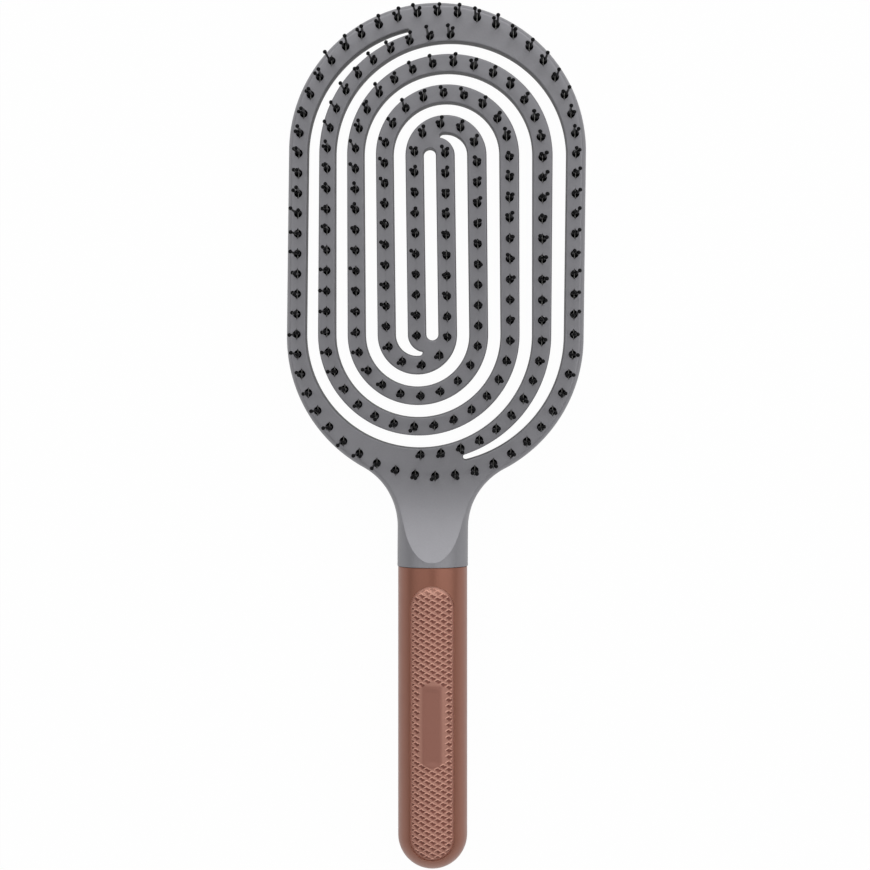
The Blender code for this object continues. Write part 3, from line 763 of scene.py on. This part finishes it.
def rings_about(spoke, stations):
    """Rings about the axis, and normals, from (radius, along, share outwards, share forwards)."""
    forward = np.array([0.0, 1.0, 0.0])
    return [(spoke * radius + forward * along, spoke * outwards + forward * forwards)
            for radius, along, outwards, forwards in stations]


def add_collar(shape, rows, grid):
    """Collar and tang, from the section at the end of the neck."""
    ring = np.concatenate([grid[:, 0], grid[::-1, -1]])
    angles = np.arctan2(ring[:, 2], ring[:, 0])
    spoke = np.stack([np.cos(angles), np.zeros_like(angles), np.sin(angles)], 1)
    lip = [(NECK_RADIUS, COLLAR_LIP, 1.0, 0.0)]
    for up, inwards, sine, cosine in rounding(COLLAR_LIP, LIP_ANGLES):
        lip.append((NECK_RADIUS - inwards, up, cosine, -sine))
    lip.append((TANG_RADIUS, 0.0, 0.0, -1.0))
    tang = [(TANG_RADIUS, TANG_LEAD - TANG_LENGTH, 1.0, 0.0),
            (TANG_RADIUS - TANG_TAPER, -TANG_LENGTH,
             math.cos(TANG_END_TURN), -math.sin(TANG_END_TURN))]
    section = np.concatenate([[row[0] for row in rows], [row[-1] for row in rows[::-1]]])
    for stations in (lip, tang):
        section, _ = shape.wall(section, spoke, rings_about(spoke, stations))
    shape.polygons([section], [np.tile((0.0, -1.0, 0.0), (len(section), 1))])


def add_slots(shape):
    """Walls of the slots; gives their edges in front and at the back as (line, point numbers)."""
    front = []
    back = []
    profile = slot_profile()
    slot = slot_loop()
    for plan in (slot, -slot, stadium(SLOT_WIDTH / 2, SLOT_HALF_STRAIGHT)):
        loop, out = outward(plan + (0.0, HEAD_CENTRE))
        # Past the rounded front edge the walls take the dark copy of the paint, painted shade.
        rings = add_front_opening(shape, loop, out, profile, SLOT_WALL_FROM, SLOT_WALL_SHADE)
        front.append((loop + out * SLOT_ROUND, rings[0]))
        back.append((loop + out * SLOT_BACK_ROUND, rings[-1]))
    return front, back


def add_holes(shape):
    """Drilled holes of the tufts; gives their edges in front as (line, point numbers)."""
    hole, out = outward(tuft_hole())
    profile = rounding(HOLE_BEVEL, (0, 45, 90))
    profile += [(0.0, HOLE_SHADE_DEPTH, 1.0, 0.0), (0.0, HOLE_DEPTH, 1.0, 0.0)]
    front = []
    for place in np.concatenate(list(tuft_places().values())):
        # Below the rounded edge the hole's walls and its floor take the near-black coat, painted
        # shade of the deep hole.
        rings = add_front_opening(shape, hole + place, out, profile, HOLE_WALL_FROM, HOLE_SHADE)
        front.append((hole + place + out * HOLE_BEVEL, rings[0]))
        facing = np.tile((0.0, 0.0, 1.0), (len(hole), 1))
        shape.polygons([rings[-1]], [facing], material=HOLE_SHADE)
    return front


def add_faces(shape, inner, outer, front, back):
    """Front and back face of the head, each between its outline and the edges of its openings."""
    for edges, sign in (([inner] + front, 1), ([outer] + back, -1)):
        loops = [line for line, _ in edges]
        extra = scoop_points(loops[0])
        triangles = triangulate(loops, extra)
        extra_index = shape.add(at_height(extra, sign * edge_section(extra[:, 1])[0]))
        index = np.concatenate([numbers for _, numbers in edges] + [extra_index])
        plan = np.concatenate(loops + [extra])
        facing = top_normals(plan[:, 1]) * (1, sign, sign)
        shape.polygons(index[triangles], facing[triangles])


# The head's second material is the near-black coat of the holes and its third the dark copy of the
# paint on the slot walls, both painted shade.
def make_head(material, bare, wall_shade):
    shape = Shape()
    outline, out = head_outline()
    grid = flank_grid(outline, out)
    normals = grid_normals(grid)
    rows = [shape.add(row) for row in grid]
    for a, b, na, nb in zip(rows, rows[1:], normals, normals[1:]):
        shape.bridge(a, b, na, nb, closed=False)
    add_collar(shape, rows, grid)
    front, back = add_slots(shape)
    front += add_holes(shape)

    # A narrow soft band inside the crisp edge of the front face
    shares = np.clip((outline[:, 1] - EDGE_SOFT_START) / EDGE_SOFT_LENGTH,
                     EDGE_SOFT_LEAST_SHARE, 1.0)
    inner = grid[0, :, :2] - out * (EDGE_SOFT * shares)[:, None]
    inner_index = shape.add(at_height(inner, edge_section(inner[:, 1])[0]))
    face_normals = top_normals(grid[0, :, 1])
    shape.bridge(rows[0], inner_index, unit(face_normals + normals[0]),
                 top_normals(inner[:, 1]), closed=False)
    shape.polygons([[rows[0][0], inner_index[0], inner_index[-1], rows[0][-1]]],
                   [[face_normals[0]] * 4])
    add_faces(shape, (inner, inner_index), (grid[-1, :, :2], rows[-1]), front, back)
    return shape.make("head", [material, bare, wall_shade], bent=True)


# Tufts


def tube(path, radii):
    """Points of a swept tube, ring by ring, in a plane square to the path."""
    tangents = unit(np.gradient(path, axis=0))
    aside = unit(np.array([0.0, 1.0, 0.0]) - tangents * tangents[:, 1:2])
    other = np.cross(aside, tangents)
    angles = 2 * np.pi * (np.arange(TUBE_SIDES) + 0.5) / TUBE_SIDES
    ring = (np.cos(angles)[None, :, None] * aside[:, None]
            + np.sin(angles)[None, :, None] * other[:, None])
    return path[:, None] + ring * np.asarray(radii)[:, None, None]


def leg(foot, tip, length):
    """Path and radii of a leg, from the pole of its ball down to the hole."""
    foot = np.array([*foot, HALF_PLATE - LEG_FOOT])
    top = np.array([*tip, HALF_PLATE + length])
    down = unit(foot - top)
    centre = top + down * BALL_RADIUS
    neck_end = BALL_NECK[-1][0]
    shaft = np.linalg.norm(foot - centre) - neck_end
    stations = [(-BALL_RADIUS * math.cos(angle), BALL_RADIUS * math.sin(angle))
                for angle in np.radians(BALL_ANGLES)]
    stations += BALL_NECK
    stations += [(neck_end + shaft * share, SHAFT_RADIUS) for share in SHAFT_SHARES]
    return [centre + down * below for below, _ in stations], [radius for _, radius in stations]


def make_tufts(name, places, seed, material):
    chance = random.Random(seed)
    shape = Shape()
    bow_height = HALF_PLATE - BOW_DEPTH + LEG_X
    for x, y in places:
        middle = np.array([x, y])
        longest = [PIN_LENGTH, SHORT_PIN_LENGTH]
        chance.shuffle(longest)
        legs = []
        for side, full_length in zip((-1, 1), longest):
            aside = side * (LEG_SPACING / 2 + LEG_SPREAD * chance.random())
            along = LEG_STRAY * chance.uniform(-1, 1)
            length = full_length - BALL_CROWN - LENGTH_STRAY * chance.random()
            legs.append(leg(middle + (side * LEG_X, 0.0), middle + (aside, along), length))
        (first, first_radii), (second, second_radii) = legs
        bow = [np.array([x + LEG_X * math.cos(angle), y, bow_height + LEG_X * math.sin(angle)])
               for angle in np.linspace(math.pi, 2 * math.pi, BOW_POINTS)]
        path = np.array(first + bow + second[::-1])
        radii = first_radii + [SHAFT_RADIUS * BOW_THIN_SHARE] * len(bow) + second_radii[::-1]
        rings = tube(path, radii)
        index = shape.add(rings.reshape(-1, 3)).reshape(rings.shape[:2])
        for a, b in zip(index, index[1:]):
            shape.bridge(a, b)
        shape.polygons([index[0][::-1], index[-1]])
    return shape.make(name, [material], bent=True)


def make_staples(all_places, material):
    half_x, half_y, half_z = STAPLE
    shape = Shape()
    middle = HALF_PLATE - STAPLE_TOP - half_z
    for x, y in all_places:
        rings = []
        for up, shrink in ((half_z, STAPLE_BEVEL), (half_z - STAPLE_BEVEL, 0.0), (-half_z, 0.0)):
            corners = [(x + sx * (half_x - shrink), y + sy * (half_y - shrink), middle + up)
                       for sx, sy in SQUARE]
            rings.append(shape.add(corners))
        for a, b in zip(rings, rings[1:]):
            shape.bridge(b, a)
        shape.polygons([rings[0], rings[-1][::-1]])
    made = shape.make("staples", [material], bent=True)
    made.data.set_sharp_from_angle(angle=STAPLE_SHARP)
    return made


# Handle


def on_handle(theta, s):
    """Point and normal of the skin, by angle round the handle and distance down from the joint."""
    angle = np.clip((s + CAP_CENTRE) / HANDLE_RADIUS, 0.0, math.pi / 2)
    rho = HANDLE_RADIUS * np.cos(angle)
    y = -np.minimum(s, -CAP_CENTRE) - HANDLE_RADIUS * np.sin(angle)
    points = np.stack([rho * np.sin(theta), y, rho * np.cos(theta)], -1)
    normals = np.stack([np.sin(theta) * np.cos(angle), -np.sin(angle),
                        np.cos(theta) * np.cos(angle)], -1)
    return points, normals


def to_skin(plan):
    """Angle round the handle and distance down the meridian of a point of the plan."""
    x, y = plan.T
    past = np.maximum(CAP_CENTRE - y, 0.0)
    rho = np.sqrt(np.maximum(HANDLE_RADIUS**2 - past**2, 1e-6))
    theta = np.arcsin(np.clip(x / rho, -1, 1))
    s = np.where(y > CAP_CENTRE, -y,
                 -CAP_CENTRE + HANDLE_RADIUS * np.arcsin(np.clip(past / HANDLE_RADIUS, 0, 1)))
    return theta, s


def unrolled(theta, s):
    return np.stack([theta * HANDLE_RADIUS, s], 1)


def panel_loop(inset):
    """Outline of the recess, drawn in by the inset, with the normals that point out of it."""
    half = PANEL_WIDTH / 2
    loop, out = outward(stadium(half, PANEL_LENGTH / 2 - half))
    return loop - out * inset + (0.0, PANEL_MIDDLE), out


def drop_to(plan, radius):
    """Points of the plan on the capsule of that radius, with the capsule's normals."""
    x, y = plan.T
    past = np.maximum(CAP_CENTRE - y, 0.0)
    z = np.sqrt(np.maximum(radius**2 - x**2 - past**2, 0.01))
    points = np.stack([x, y, z], 1)
    normals = np.stack([x, -past, z], 1) / radius
    return points, unit(normals)


def add_floor(shape, loop, radius, half_width, inset, faced):
    """Floor inside a loop, on the capsule of that radius; gives the loop's point numbers."""
    grid = np.array([(x, y) for x in np.linspace(-half_width, half_width, FLOOR_COLUMNS)
                     for y in FLOOR_ROWS])
    grid = grid[inside_all(grid, [panel_loop(inset)[0]])]
    points, normals = drop_to(np.concatenate([loop, grid]), radius)
    index = shape.add(points)
    triangles = triangulate([loop], grid)
    shape.polygons(index[triangles], normals[triangles] if faced else None)
    return index[:len(loop)]


def add_skin(shape):
    """Skin round the back and sides; gives the point numbers of its columns."""
    points, normals = zip(*(on_handle(np.full_like(DOWN, theta), DOWN) for theta in BACK))
    columns = [shape.add(column) for column in points]
    for a, b, na, nb in zip(columns, columns[1:], normals, normals[1:]):
        shape.bridge(a, b, na, nb, closed=False)
    return columns


def add_front_patch(shape, columns):
    """Skin round the recess, drawn unrolled; gives its two end rows, the lip and its normals."""
    inner = FRONT[1:-1]
    ends = [np.full_like(inner, place) for place in (DOWN[0], DOWN[-1])]
    top_index, low_index = [shape.add(on_handle(inner, end)[0]) for end in ends]
    border = np.concatenate([
        unrolled(np.full_like(DOWN, FRONT[0]), DOWN), unrolled(inner, ends[1]),
        unrolled(np.full_like(DOWN, FRONT[-1]), DOWN)[::-1], unrolled(inner, ends[0])[::-1]])
    border_index = np.concatenate([columns[-1], low_index, columns[0][::-1], top_index[::-1]])
    loop, out = panel_loop(PANEL_FIT)
    lip_plan = loop + out * LIP_ROUND
    lip_loop = unrolled(*to_skin(lip_plan))
    lip_points, lip_normals = drop_to(lip_plan, HANDLE_RADIUS)
    lip_index = shape.add(lip_points)
    extra = np.array([(t * HANDLE_RADIUS, s) for t in inner for s in DOWN[1:-1]])
    clear = np.sqrt(((extra[:, None] - lip_loop[None]) ** 2).sum(2)).min(1) > PATCH_CLEAR
    extra = extra[clear & ~inside_all(extra, [lip_loop])]
    extra_index = shape.add(on_handle(extra[:, 0] / HANDLE_RADIUS, extra[:, 1])[0])
    triangles = triangulate([border, lip_loop], extra)
    plan = np.concatenate([border, lip_loop, extra])
    index = np.concatenate([border_index, lip_index, extra_index])
    facing = on_handle(plan[:, 0] / HANDLE_RADIUS, plan[:, 1])[1]
    shape.polygons(index[triangles], facing[triangles])
    return top_index, low_index, lip_index, lip_normals


def add_recess(shape, lip, lip_normals):
    """Rounded lip, wall and floor of the panel's recess."""
    loop, out = panel_loop(PANEL_FIT)
    flat_out = at_height(out, 0.0)
    steps = []
    for grow, drop, sine, cosine in rounding(LIP_ROUND, RECESS_LIP_ANGLES):
        points, skin = drop_to(loop + out * grow, HANDLE_RADIUS - drop * LIP_DROP_SHARE)
        steps.append((points, skin * cosine - flat_out * sine))
    edge, edge_normals = shape.wall(lip, lip_normals, steps)
    floor = add_floor(shape, loop, HANDLE_RADIUS - PANEL_RECESS, *RECESS_GRID, faced=True)
    shape.bridge(edge, floor, edge_normals, -flat_out)


def add_mouth(shape, ring):
    """Rounded lip and face of the mouth, and the bore for the tang."""
    spoke = np.stack([np.sin(AROUND), np.zeros_like(AROUND), np.cos(AROUND)], 1)
    lip = [(HANDLE_RADIUS - inwards, -SEAM - back, cosine, sine)
           for back, inwards, sine, cosine in rounding(SHELL_LIP, LIP_ANGLES)]
    lip.append((TANG_BORE, -SEAM, 0.0, 1.0))
    ring, _ = shape.wall(ring, spoke, rings_about(spoke, lip))
    bore = []
    for angle in BORE_ANGLES:
        sine, cosine = math.sin(angle), math.cos(angle)
        bore.append((TANG_BORE * cosine, CAP_CENTRE - TANG_BORE * sine, -cosine, sine))
    ring, normals = shape.wall(ring, -spoke, rings_about(spoke, bore))
    shape.fan(ring, normals, (0.0, CAP_CENTRE - TANG_BORE, 0.0), (0.0, 1.0, 0.0))


def make_shell(material):
    shape = Shape()
    columns = add_skin(shape)
    top_row, low_row, lip, lip_normals = add_front_patch(shape, columns)
    add_recess(shape, lip, lip_normals)
    low_ring, mouth_ring = [
        np.array([columns[-1][end], *row, columns[0][end], *[c[end] for c in columns[1:-1]]])
        for row, end in ((low_row, -1), (top_row, 0))]
    normals = on_handle(AROUND, np.full_like(AROUND, DOWN[-1]))[1]
    shape.fan(low_ring, normals, (0.0, -HANDLE_LENGTH, 0.0), (0.0, -1.0, 0.0))
    add_mouth(shape, mouth_ring)
    return shape.make("shell", [material], bent=False)


# Grip panel


def smooth(value):
    value = np.clip(value, 0.0, 1.0)
    return value * value * (3 - 2 * value)


def lattice(x, y):
    """Share of a pit, and of the bead round its far side, at each point; none on the plaque."""
    star = np.array(PIT_STAR)
    angles = np.arctan2(star[:, 1], star[:, 0])
    radii = np.hypot(star[:, 0], star[:, 1])
    order = np.argsort(angles)
    pit = np.zeros(x.shape)
    bead = np.zeros(x.shape)
    for stagger, step_x, step_y in product((0.0, 0.5), (0, 1), (0, 1)):
        across = (x - PIT_ORIGIN[0]) / PIT_ACROSS - stagger
        along = (y - PIT_ORIGIN[1]) / PIT_ALONG - stagger
        column = np.floor(across) + step_x
        row = np.floor(along) + step_y
        dx = (across - column) * PIT_ACROSS
        dy = (along - row) * PIT_ALONG
        angle = np.arctan2(dy, dx)
        radius = np.interp(angle, angles[order], radii[order], period=2 * math.pi)
        outside = np.hypot(dx, dy) - radius
        centre_x = PIT_ORIGIN[0] + (column + stagger) * PIT_ACROSS
        centre_y = PIT_ORIGIN[1] + (row + stagger) * PIT_ALONG - PLAQUE_MIDDLE
        reach = PLAQUE_BARE[1] - PLAQUE_CORNER * np.abs(centre_x)
        bare = (np.abs(centre_x) < PLAQUE_BARE[0]) & (np.abs(centre_y) < reach)
        own = smooth((PIT_GROWTH - outside) / PIT_WALL)
        pit = np.maximum(pit, np.where(bare, 0.0, own))
        far = smooth((np.sin(angle) - BEAD_START) / BEAD_FADE)
        own = far * np.exp(-((outside - BEAD_PLACE) / BEAD_WIDTH) ** 2)
        bead = np.maximum(bead, np.where(bare, 0.0, own))
    return pit, bead


def panel_relief(x, y):
    """Height of the panel's surface over its base, and how pale it is painted, with painted light
    and shade.
    """
    past = np.maximum(np.abs(y - PANEL_MIDDLE) - PANEL_REACH, 0.0)
    edge = PANEL_HALF - np.hypot(x, past)
    pit, bead = lattice(x, y)
    clear = smooth((edge - EDGE_CLEAR) / EDGE_FADE)
    from_end = y - (PANEL_MIDDLE + PANEL_LENGTH / 2 - SEAT_GAP - END_DIP_LENGTH)
    near_end = smooth(from_end / END_DIP_LENGTH * END_FADE)
    pit = pit * clear * (1 - END_SHALLOW * near_end)
    bead = bead * clear * (1 - pit)
    radius = HANDLE_RADIUS - PANEL_SUNK
    crown_height = np.sqrt(np.maximum(radius**2 - x**2, 0.0))
    flat = math.sqrt(radius**2 - (PLAQUE_WIDTH / 2) ** 2)
    milled = smooth((PLAQUE_LENGTH / 2 - np.abs(y - PLAQUE_MIDDLE)) / PLAQUE_RAMP)
    milled = np.where(np.abs(x) < PLAQUE_WIDTH / 2, milled, 0.0)
    relief = BEAD_HEIGHT * bead - PIT_DEPTH * pit + milled * (flat - crown_height)
    relief -= END_DIP * np.clip(from_end / END_DIP_LENGTH, 0, 1) ** 2
    half_x, half_y = PLAQUE_BARE
    bare = smooth((half_x - BARE_MARGIN - np.abs(x)) / BARE_FADE)
    bare *= smooth((half_y - BARE_MARGIN - np.abs(y - PLAQUE_MIDDLE)) / BARE_FADE)
    # Painted highlights on the beads and along the rim, painted shade in the pits, painted light
    # near the end.
    tone_and_painted_light = PALE_BASE + BEAD_HIGHLIGHT * bead + PIT_SHADE * pit
    tone_and_painted_light += END_LIGHT * near_end * (1 - pit) + PALE_BARE * bare
    tone_and_painted_light = np.maximum(tone_and_painted_light, RIM_HIGHLIGHT * smooth((RIM_HIGHLIGHT_WIDTH - edge) / RIM_HIGHLIGHT_FADE))
    return relief, np.clip(tone_and_painted_light, 0.0, 1.0)


def border_of(grid):
    """The border of a grid, once round."""
    return np.concatenate([grid[0], grid[1:-1, -1], grid[-1][::-1], grid[1:-1, 0][::-1]])


def panel_plan():
    """Grid of points over the panel's outline, close enough for the lattice."""
    count = int(2 * PANEL_REACH / PANEL_STEP)
    end_count = int(PANEL_HALF * END_STRETCH / PANEL_STEP)
    turns = np.linspace(math.pi / 2 * END_TURN_SHARE, 0, end_count)[:-1]
    end = PANEL_REACH + PANEL_HALF * np.sin(turns)
    offsets = np.concatenate([end, np.linspace(PANEL_REACH, -PANEL_REACH, count), -end[::-1]])
    bunch = math.pi / 2 * COLUMN_BUNCH
    columns = np.sin(np.linspace(-1, 1, PANEL_COLUMNS) * bunch) / math.sin(bunch)
    past = np.maximum(np.abs(offsets) - PANEL_REACH, 0.0)
    x = np.sqrt(PANEL_HALF**2 - past**2)[:, None] * columns[None]
    y = np.broadcast_to((offsets + PANEL_MIDDLE)[:, None], x.shape)
    return np.stack([x, y], 2)


def make_panel(material):
    shape = Shape()
    plan = panel_plan()
    flat = plan.reshape(-1, 2)
    base, normals = drop_to(flat, HANDLE_RADIUS - PANEL_SUNK)
    relief, panel_shading = panel_relief(*flat.T)
    index = shape.add(base + normals * relief[:, None]).reshape(plan.shape[:2])
    for a, b in zip(index, index[1:]):
        shape.bridge(b, a, closed=False)
    radius = HANDLE_RADIUS - PANEL_RECESS + SEAT_GAP
    under = add_floor(shape, border_of(plan), radius, *PANEL_GRID, faced=False)
    shape.bridge(border_of(index), under)
    made = shape.make("panel", [material], bent=False)
    made.data.set_sharp_from_angle(angle=PANEL_SHARP)
    # The point attribute carries the lattice's painted highlights and painted shade.
    painted_shading = made.data.attributes.new("panel_shading", "FLOAT", "POINT")
    shares = np.full(len(shape.points), PALE_UNDER)
    shares[:len(panel_shading)] = panel_shading
    painted_shading.data.foreach_set("value", shares)
    return made


# Materials


def fill(tree, node, inputs):
    """Sets a node's inputs, or links them where an output socket is given."""
    for name, value in inputs.items():
        if isinstance(value, bpy.types.NodeSocket):
            tree.links.new(value, node.inputs[name])
        else:
            node.inputs[name].default_value = value


def add_node(tree, kind, inputs, **settings):
    node = tree.nodes.new("ShaderNode" + kind)
    for name, value in settings.items():
        setattr(node, name, value)
    fill(tree, node, inputs)
    return node


def new_material(name, inputs):
    material = bpy.data.materials.new(name)
    material.use_nodes = True
    tree = material.node_tree
    shader = tree.nodes["Principled BSDF"]
    fill(tree, shader, inputs)
    return material, tree, shader


def noise(tree, place, scale, detail):
    inputs = {"Vector": place, "Scale": scale, "Detail": detail}
    return add_node(tree, "TexNoise", inputs).outputs["Fac"]


def mix_colours(tree, factor, first, second):
    inputs = {"A": (*first, 1.0), "B": (*second, 1.0), "Factor": factor}
    return add_node(tree, "Mix", inputs, data_type="RGBA").outputs["Result"]


def mix_shaders(tree, factor, first, second):
    return add_node(tree, "MixShader", {"Fac": factor, 1: first, 2: second}).outputs["Shader"]


def coat(name):
    """A surface with fine grain: bump, and small changes of roughness and colour."""
    base, roughness, metallic, specular, scale, detail, strength, depth, vary = COATS[name]
    material, tree, shader = new_material(name, {
        "Base Color": (*base, 1.0), "Roughness": roughness, "Metallic": metallic,
        "Specular IOR Level": specular})
    place = add_node(tree, "TexCoord", {}).outputs["Object"]
    fine = noise(tree, place, scale, detail)
    broad = noise(tree, place, scale / BROAD_SCALE, BROAD_DETAIL)
    bump = add_node(tree, "Bump", {"Strength": strength, "Distance": depth, "Height": fine})
    spread = add_node(tree, "MapRange", {"Value": broad, "To Min": roughness - ROUGHNESS_VARY,
                                         "To Max": roughness + ROUGHNESS_VARY})
    dark, light = [[c * (1 + change) for c in base] for change in (-vary, vary)]
    colour = mix_colours(tree, fine, dark, light)
    fill(tree, shader, {"Base Color": colour, "Roughness": spread.outputs["Result"],
                        "Normal": bump.outputs["Normal"]})
    return material


def grip():
    """Soft copper coat, paler with painted highlights on the beads and rim and darker with painted
    shade in the pits.
    """
    material = coat("copper_grip_soft")
    tree = material.node_tree
    shader = tree.nodes["Principled BSDF"]
    panel_shading = add_node(tree, "Attribute", {}, attribute_name="panel_shading").outputs["Fac"]
    # The shading attribute darkens the copper to painted shade in the pits and lightens it to
    # painted highlights on the beads and rim.
    painted_shading = mix_colours(tree, panel_shading, (0.40, 0.29, 0.28), (1.55, 1.80, 1.95))
    colour = shader.inputs["Base Color"].links[0].from_socket
    shaded_colour = add_node(tree, "VectorMath", {0: colour, 1: painted_shading}, operation="MULTIPLY")
    fill(tree, shader, {"Base Color": shaded_colour.outputs["Vector"]})
    return material


def floor_material():
    """Pale floor: white to the camera and in reflections, less the object's shadow."""
    material, tree, shader = new_material("pale_floor", {
        "Roughness": FLOOR_ROUGHNESS, "Specular IOR Level": 0.0})
    path = add_node(tree, "LightPath", {}).outputs
    seen = add_node(tree, "Math", {0: path["Is Camera Ray"], 1: path["Is Glossy Ray"]},
                    operation="MAXIMUM").outputs["Value"]
    share = add_node(tree, "Math", {0: seen, 1: FLOOR_GLOW_SHARE}, operation="MULTIPLY")
    glow = add_node(tree, "Emission", {"Color": WHITE, "Strength": 1.0})
    fill(tree, shader, {"Base Color": mix_colours(tree, seen, FLOOR_DIM, FLOOR_PALE)})
    surface = mix_shaders(tree, share.outputs["Value"], shader.outputs["BSDF"],
                          glow.outputs["Emission"])
    fill(tree, tree.nodes["Material Output"], {"Surface": surface})
    return material


# Surroundings


def make_floor():
    mesh = bpy.data.meshes.new("floor")
    mesh.from_pydata([(x * FLOOR_REACH, y * FLOOR_REACH, 0) for x, y in SQUARE], [], [range(4)])
    mesh.materials.append(floor_material())
    floor = add_object("floor", mesh)


def make_world():
    """Dim even light, and a white sky where the camera looks past the floor."""
    world = bpy.data.worlds.new("studio")
    bpy.context.scene.world = world
    world.use_nodes = True
    tree = world.node_tree
    glow = tree.nodes["Background"]
    fill(tree, glow, {"Color": WHITE, "Strength": SKY_STRENGTH})
    sky = add_node(tree, "Background", {"Color": WHITE, "Strength": 1.0})
    path = add_node(tree, "LightPath", {})
    either = mix_shaders(tree, path.outputs["Is Camera Ray"], glow.outputs["Background"],
                         sky.outputs["Background"])
    fill(tree, tree.nodes["World Output"], {"Surface": either})


def add_lamp(name, place, aim, size, size_y, power):
    data = bpy.data.lights.new(name, "AREA")
    data.shape = "RECTANGLE"
    data.size = size
    data.size_y = size_y
    data.energy = power
    lamp = add_object(name, data)
    lamp.location = place
    lamp.rotation_euler = (Vector(aim) - Vector(place)).to_track_quat("-Z", "Y").to_euler()


def make_camera():
    """Straight down from a little right of and above the middle, shifted to frame the brush."""
    foot = (ORIGIN + VIEW_FOOT) * MM
    data = bpy.data.cameras.new("camera")
    data.sensor_width = SENSOR_WIDTH
    data.lens = SENSOR_WIDTH * VIEW_HEIGHT / VIEW_WIDTH
    data.shift_x = (VIEW_MIDDLE[0] - VIEW_FOOT[0]) / VIEW_WIDTH
    data.shift_y = (VIEW_MIDDLE[1] - VIEW_FOOT[1]) / VIEW_WIDTH
    camera = add_object("camera", data)
    camera.location = (foot[0], foot[1], foot[2] + VIEW_HEIGHT * MM)
    bpy.context.scene.camera = camera


def main():
    places = tuft_places()
    black = coat("black_nylon_gloss")
    # The head's second and third coats are painted shade: near-black in the holes, and a dark copy
    # of the gunmetal on the slot walls.
    head = make_head(coat("gunmetal_paint"), coat("hole_painted_shade"), coat("gunmetal_painted_wall_shade"))
    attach(head, "root")
    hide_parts("head_frame")
    for number, (name, row) in enumerate(places.items()):
        tufts = make_tufts(name.replace("tufts", "pins"), row, STRAY_SEED + number, black)
        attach(tufts, "root")
        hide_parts(name)
    staples = make_staples(np.concatenate(list(places.values())), coat("staple_wire"))
    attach(staples, "root")
    shell = make_shell(coat("copper_lacquer_paint"))
    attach(shell, "root")
    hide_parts("handle_shell")
    panel = make_panel(grip())
    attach(panel, "root")
    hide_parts("grip_panel")

    make_floor()
    make_world()
    for lamp in LAMPS:
        add_lamp(*lamp)
    make_camera()
    scene = bpy.context.scene
    scene.view_settings.view_transform = "Standard"


main()
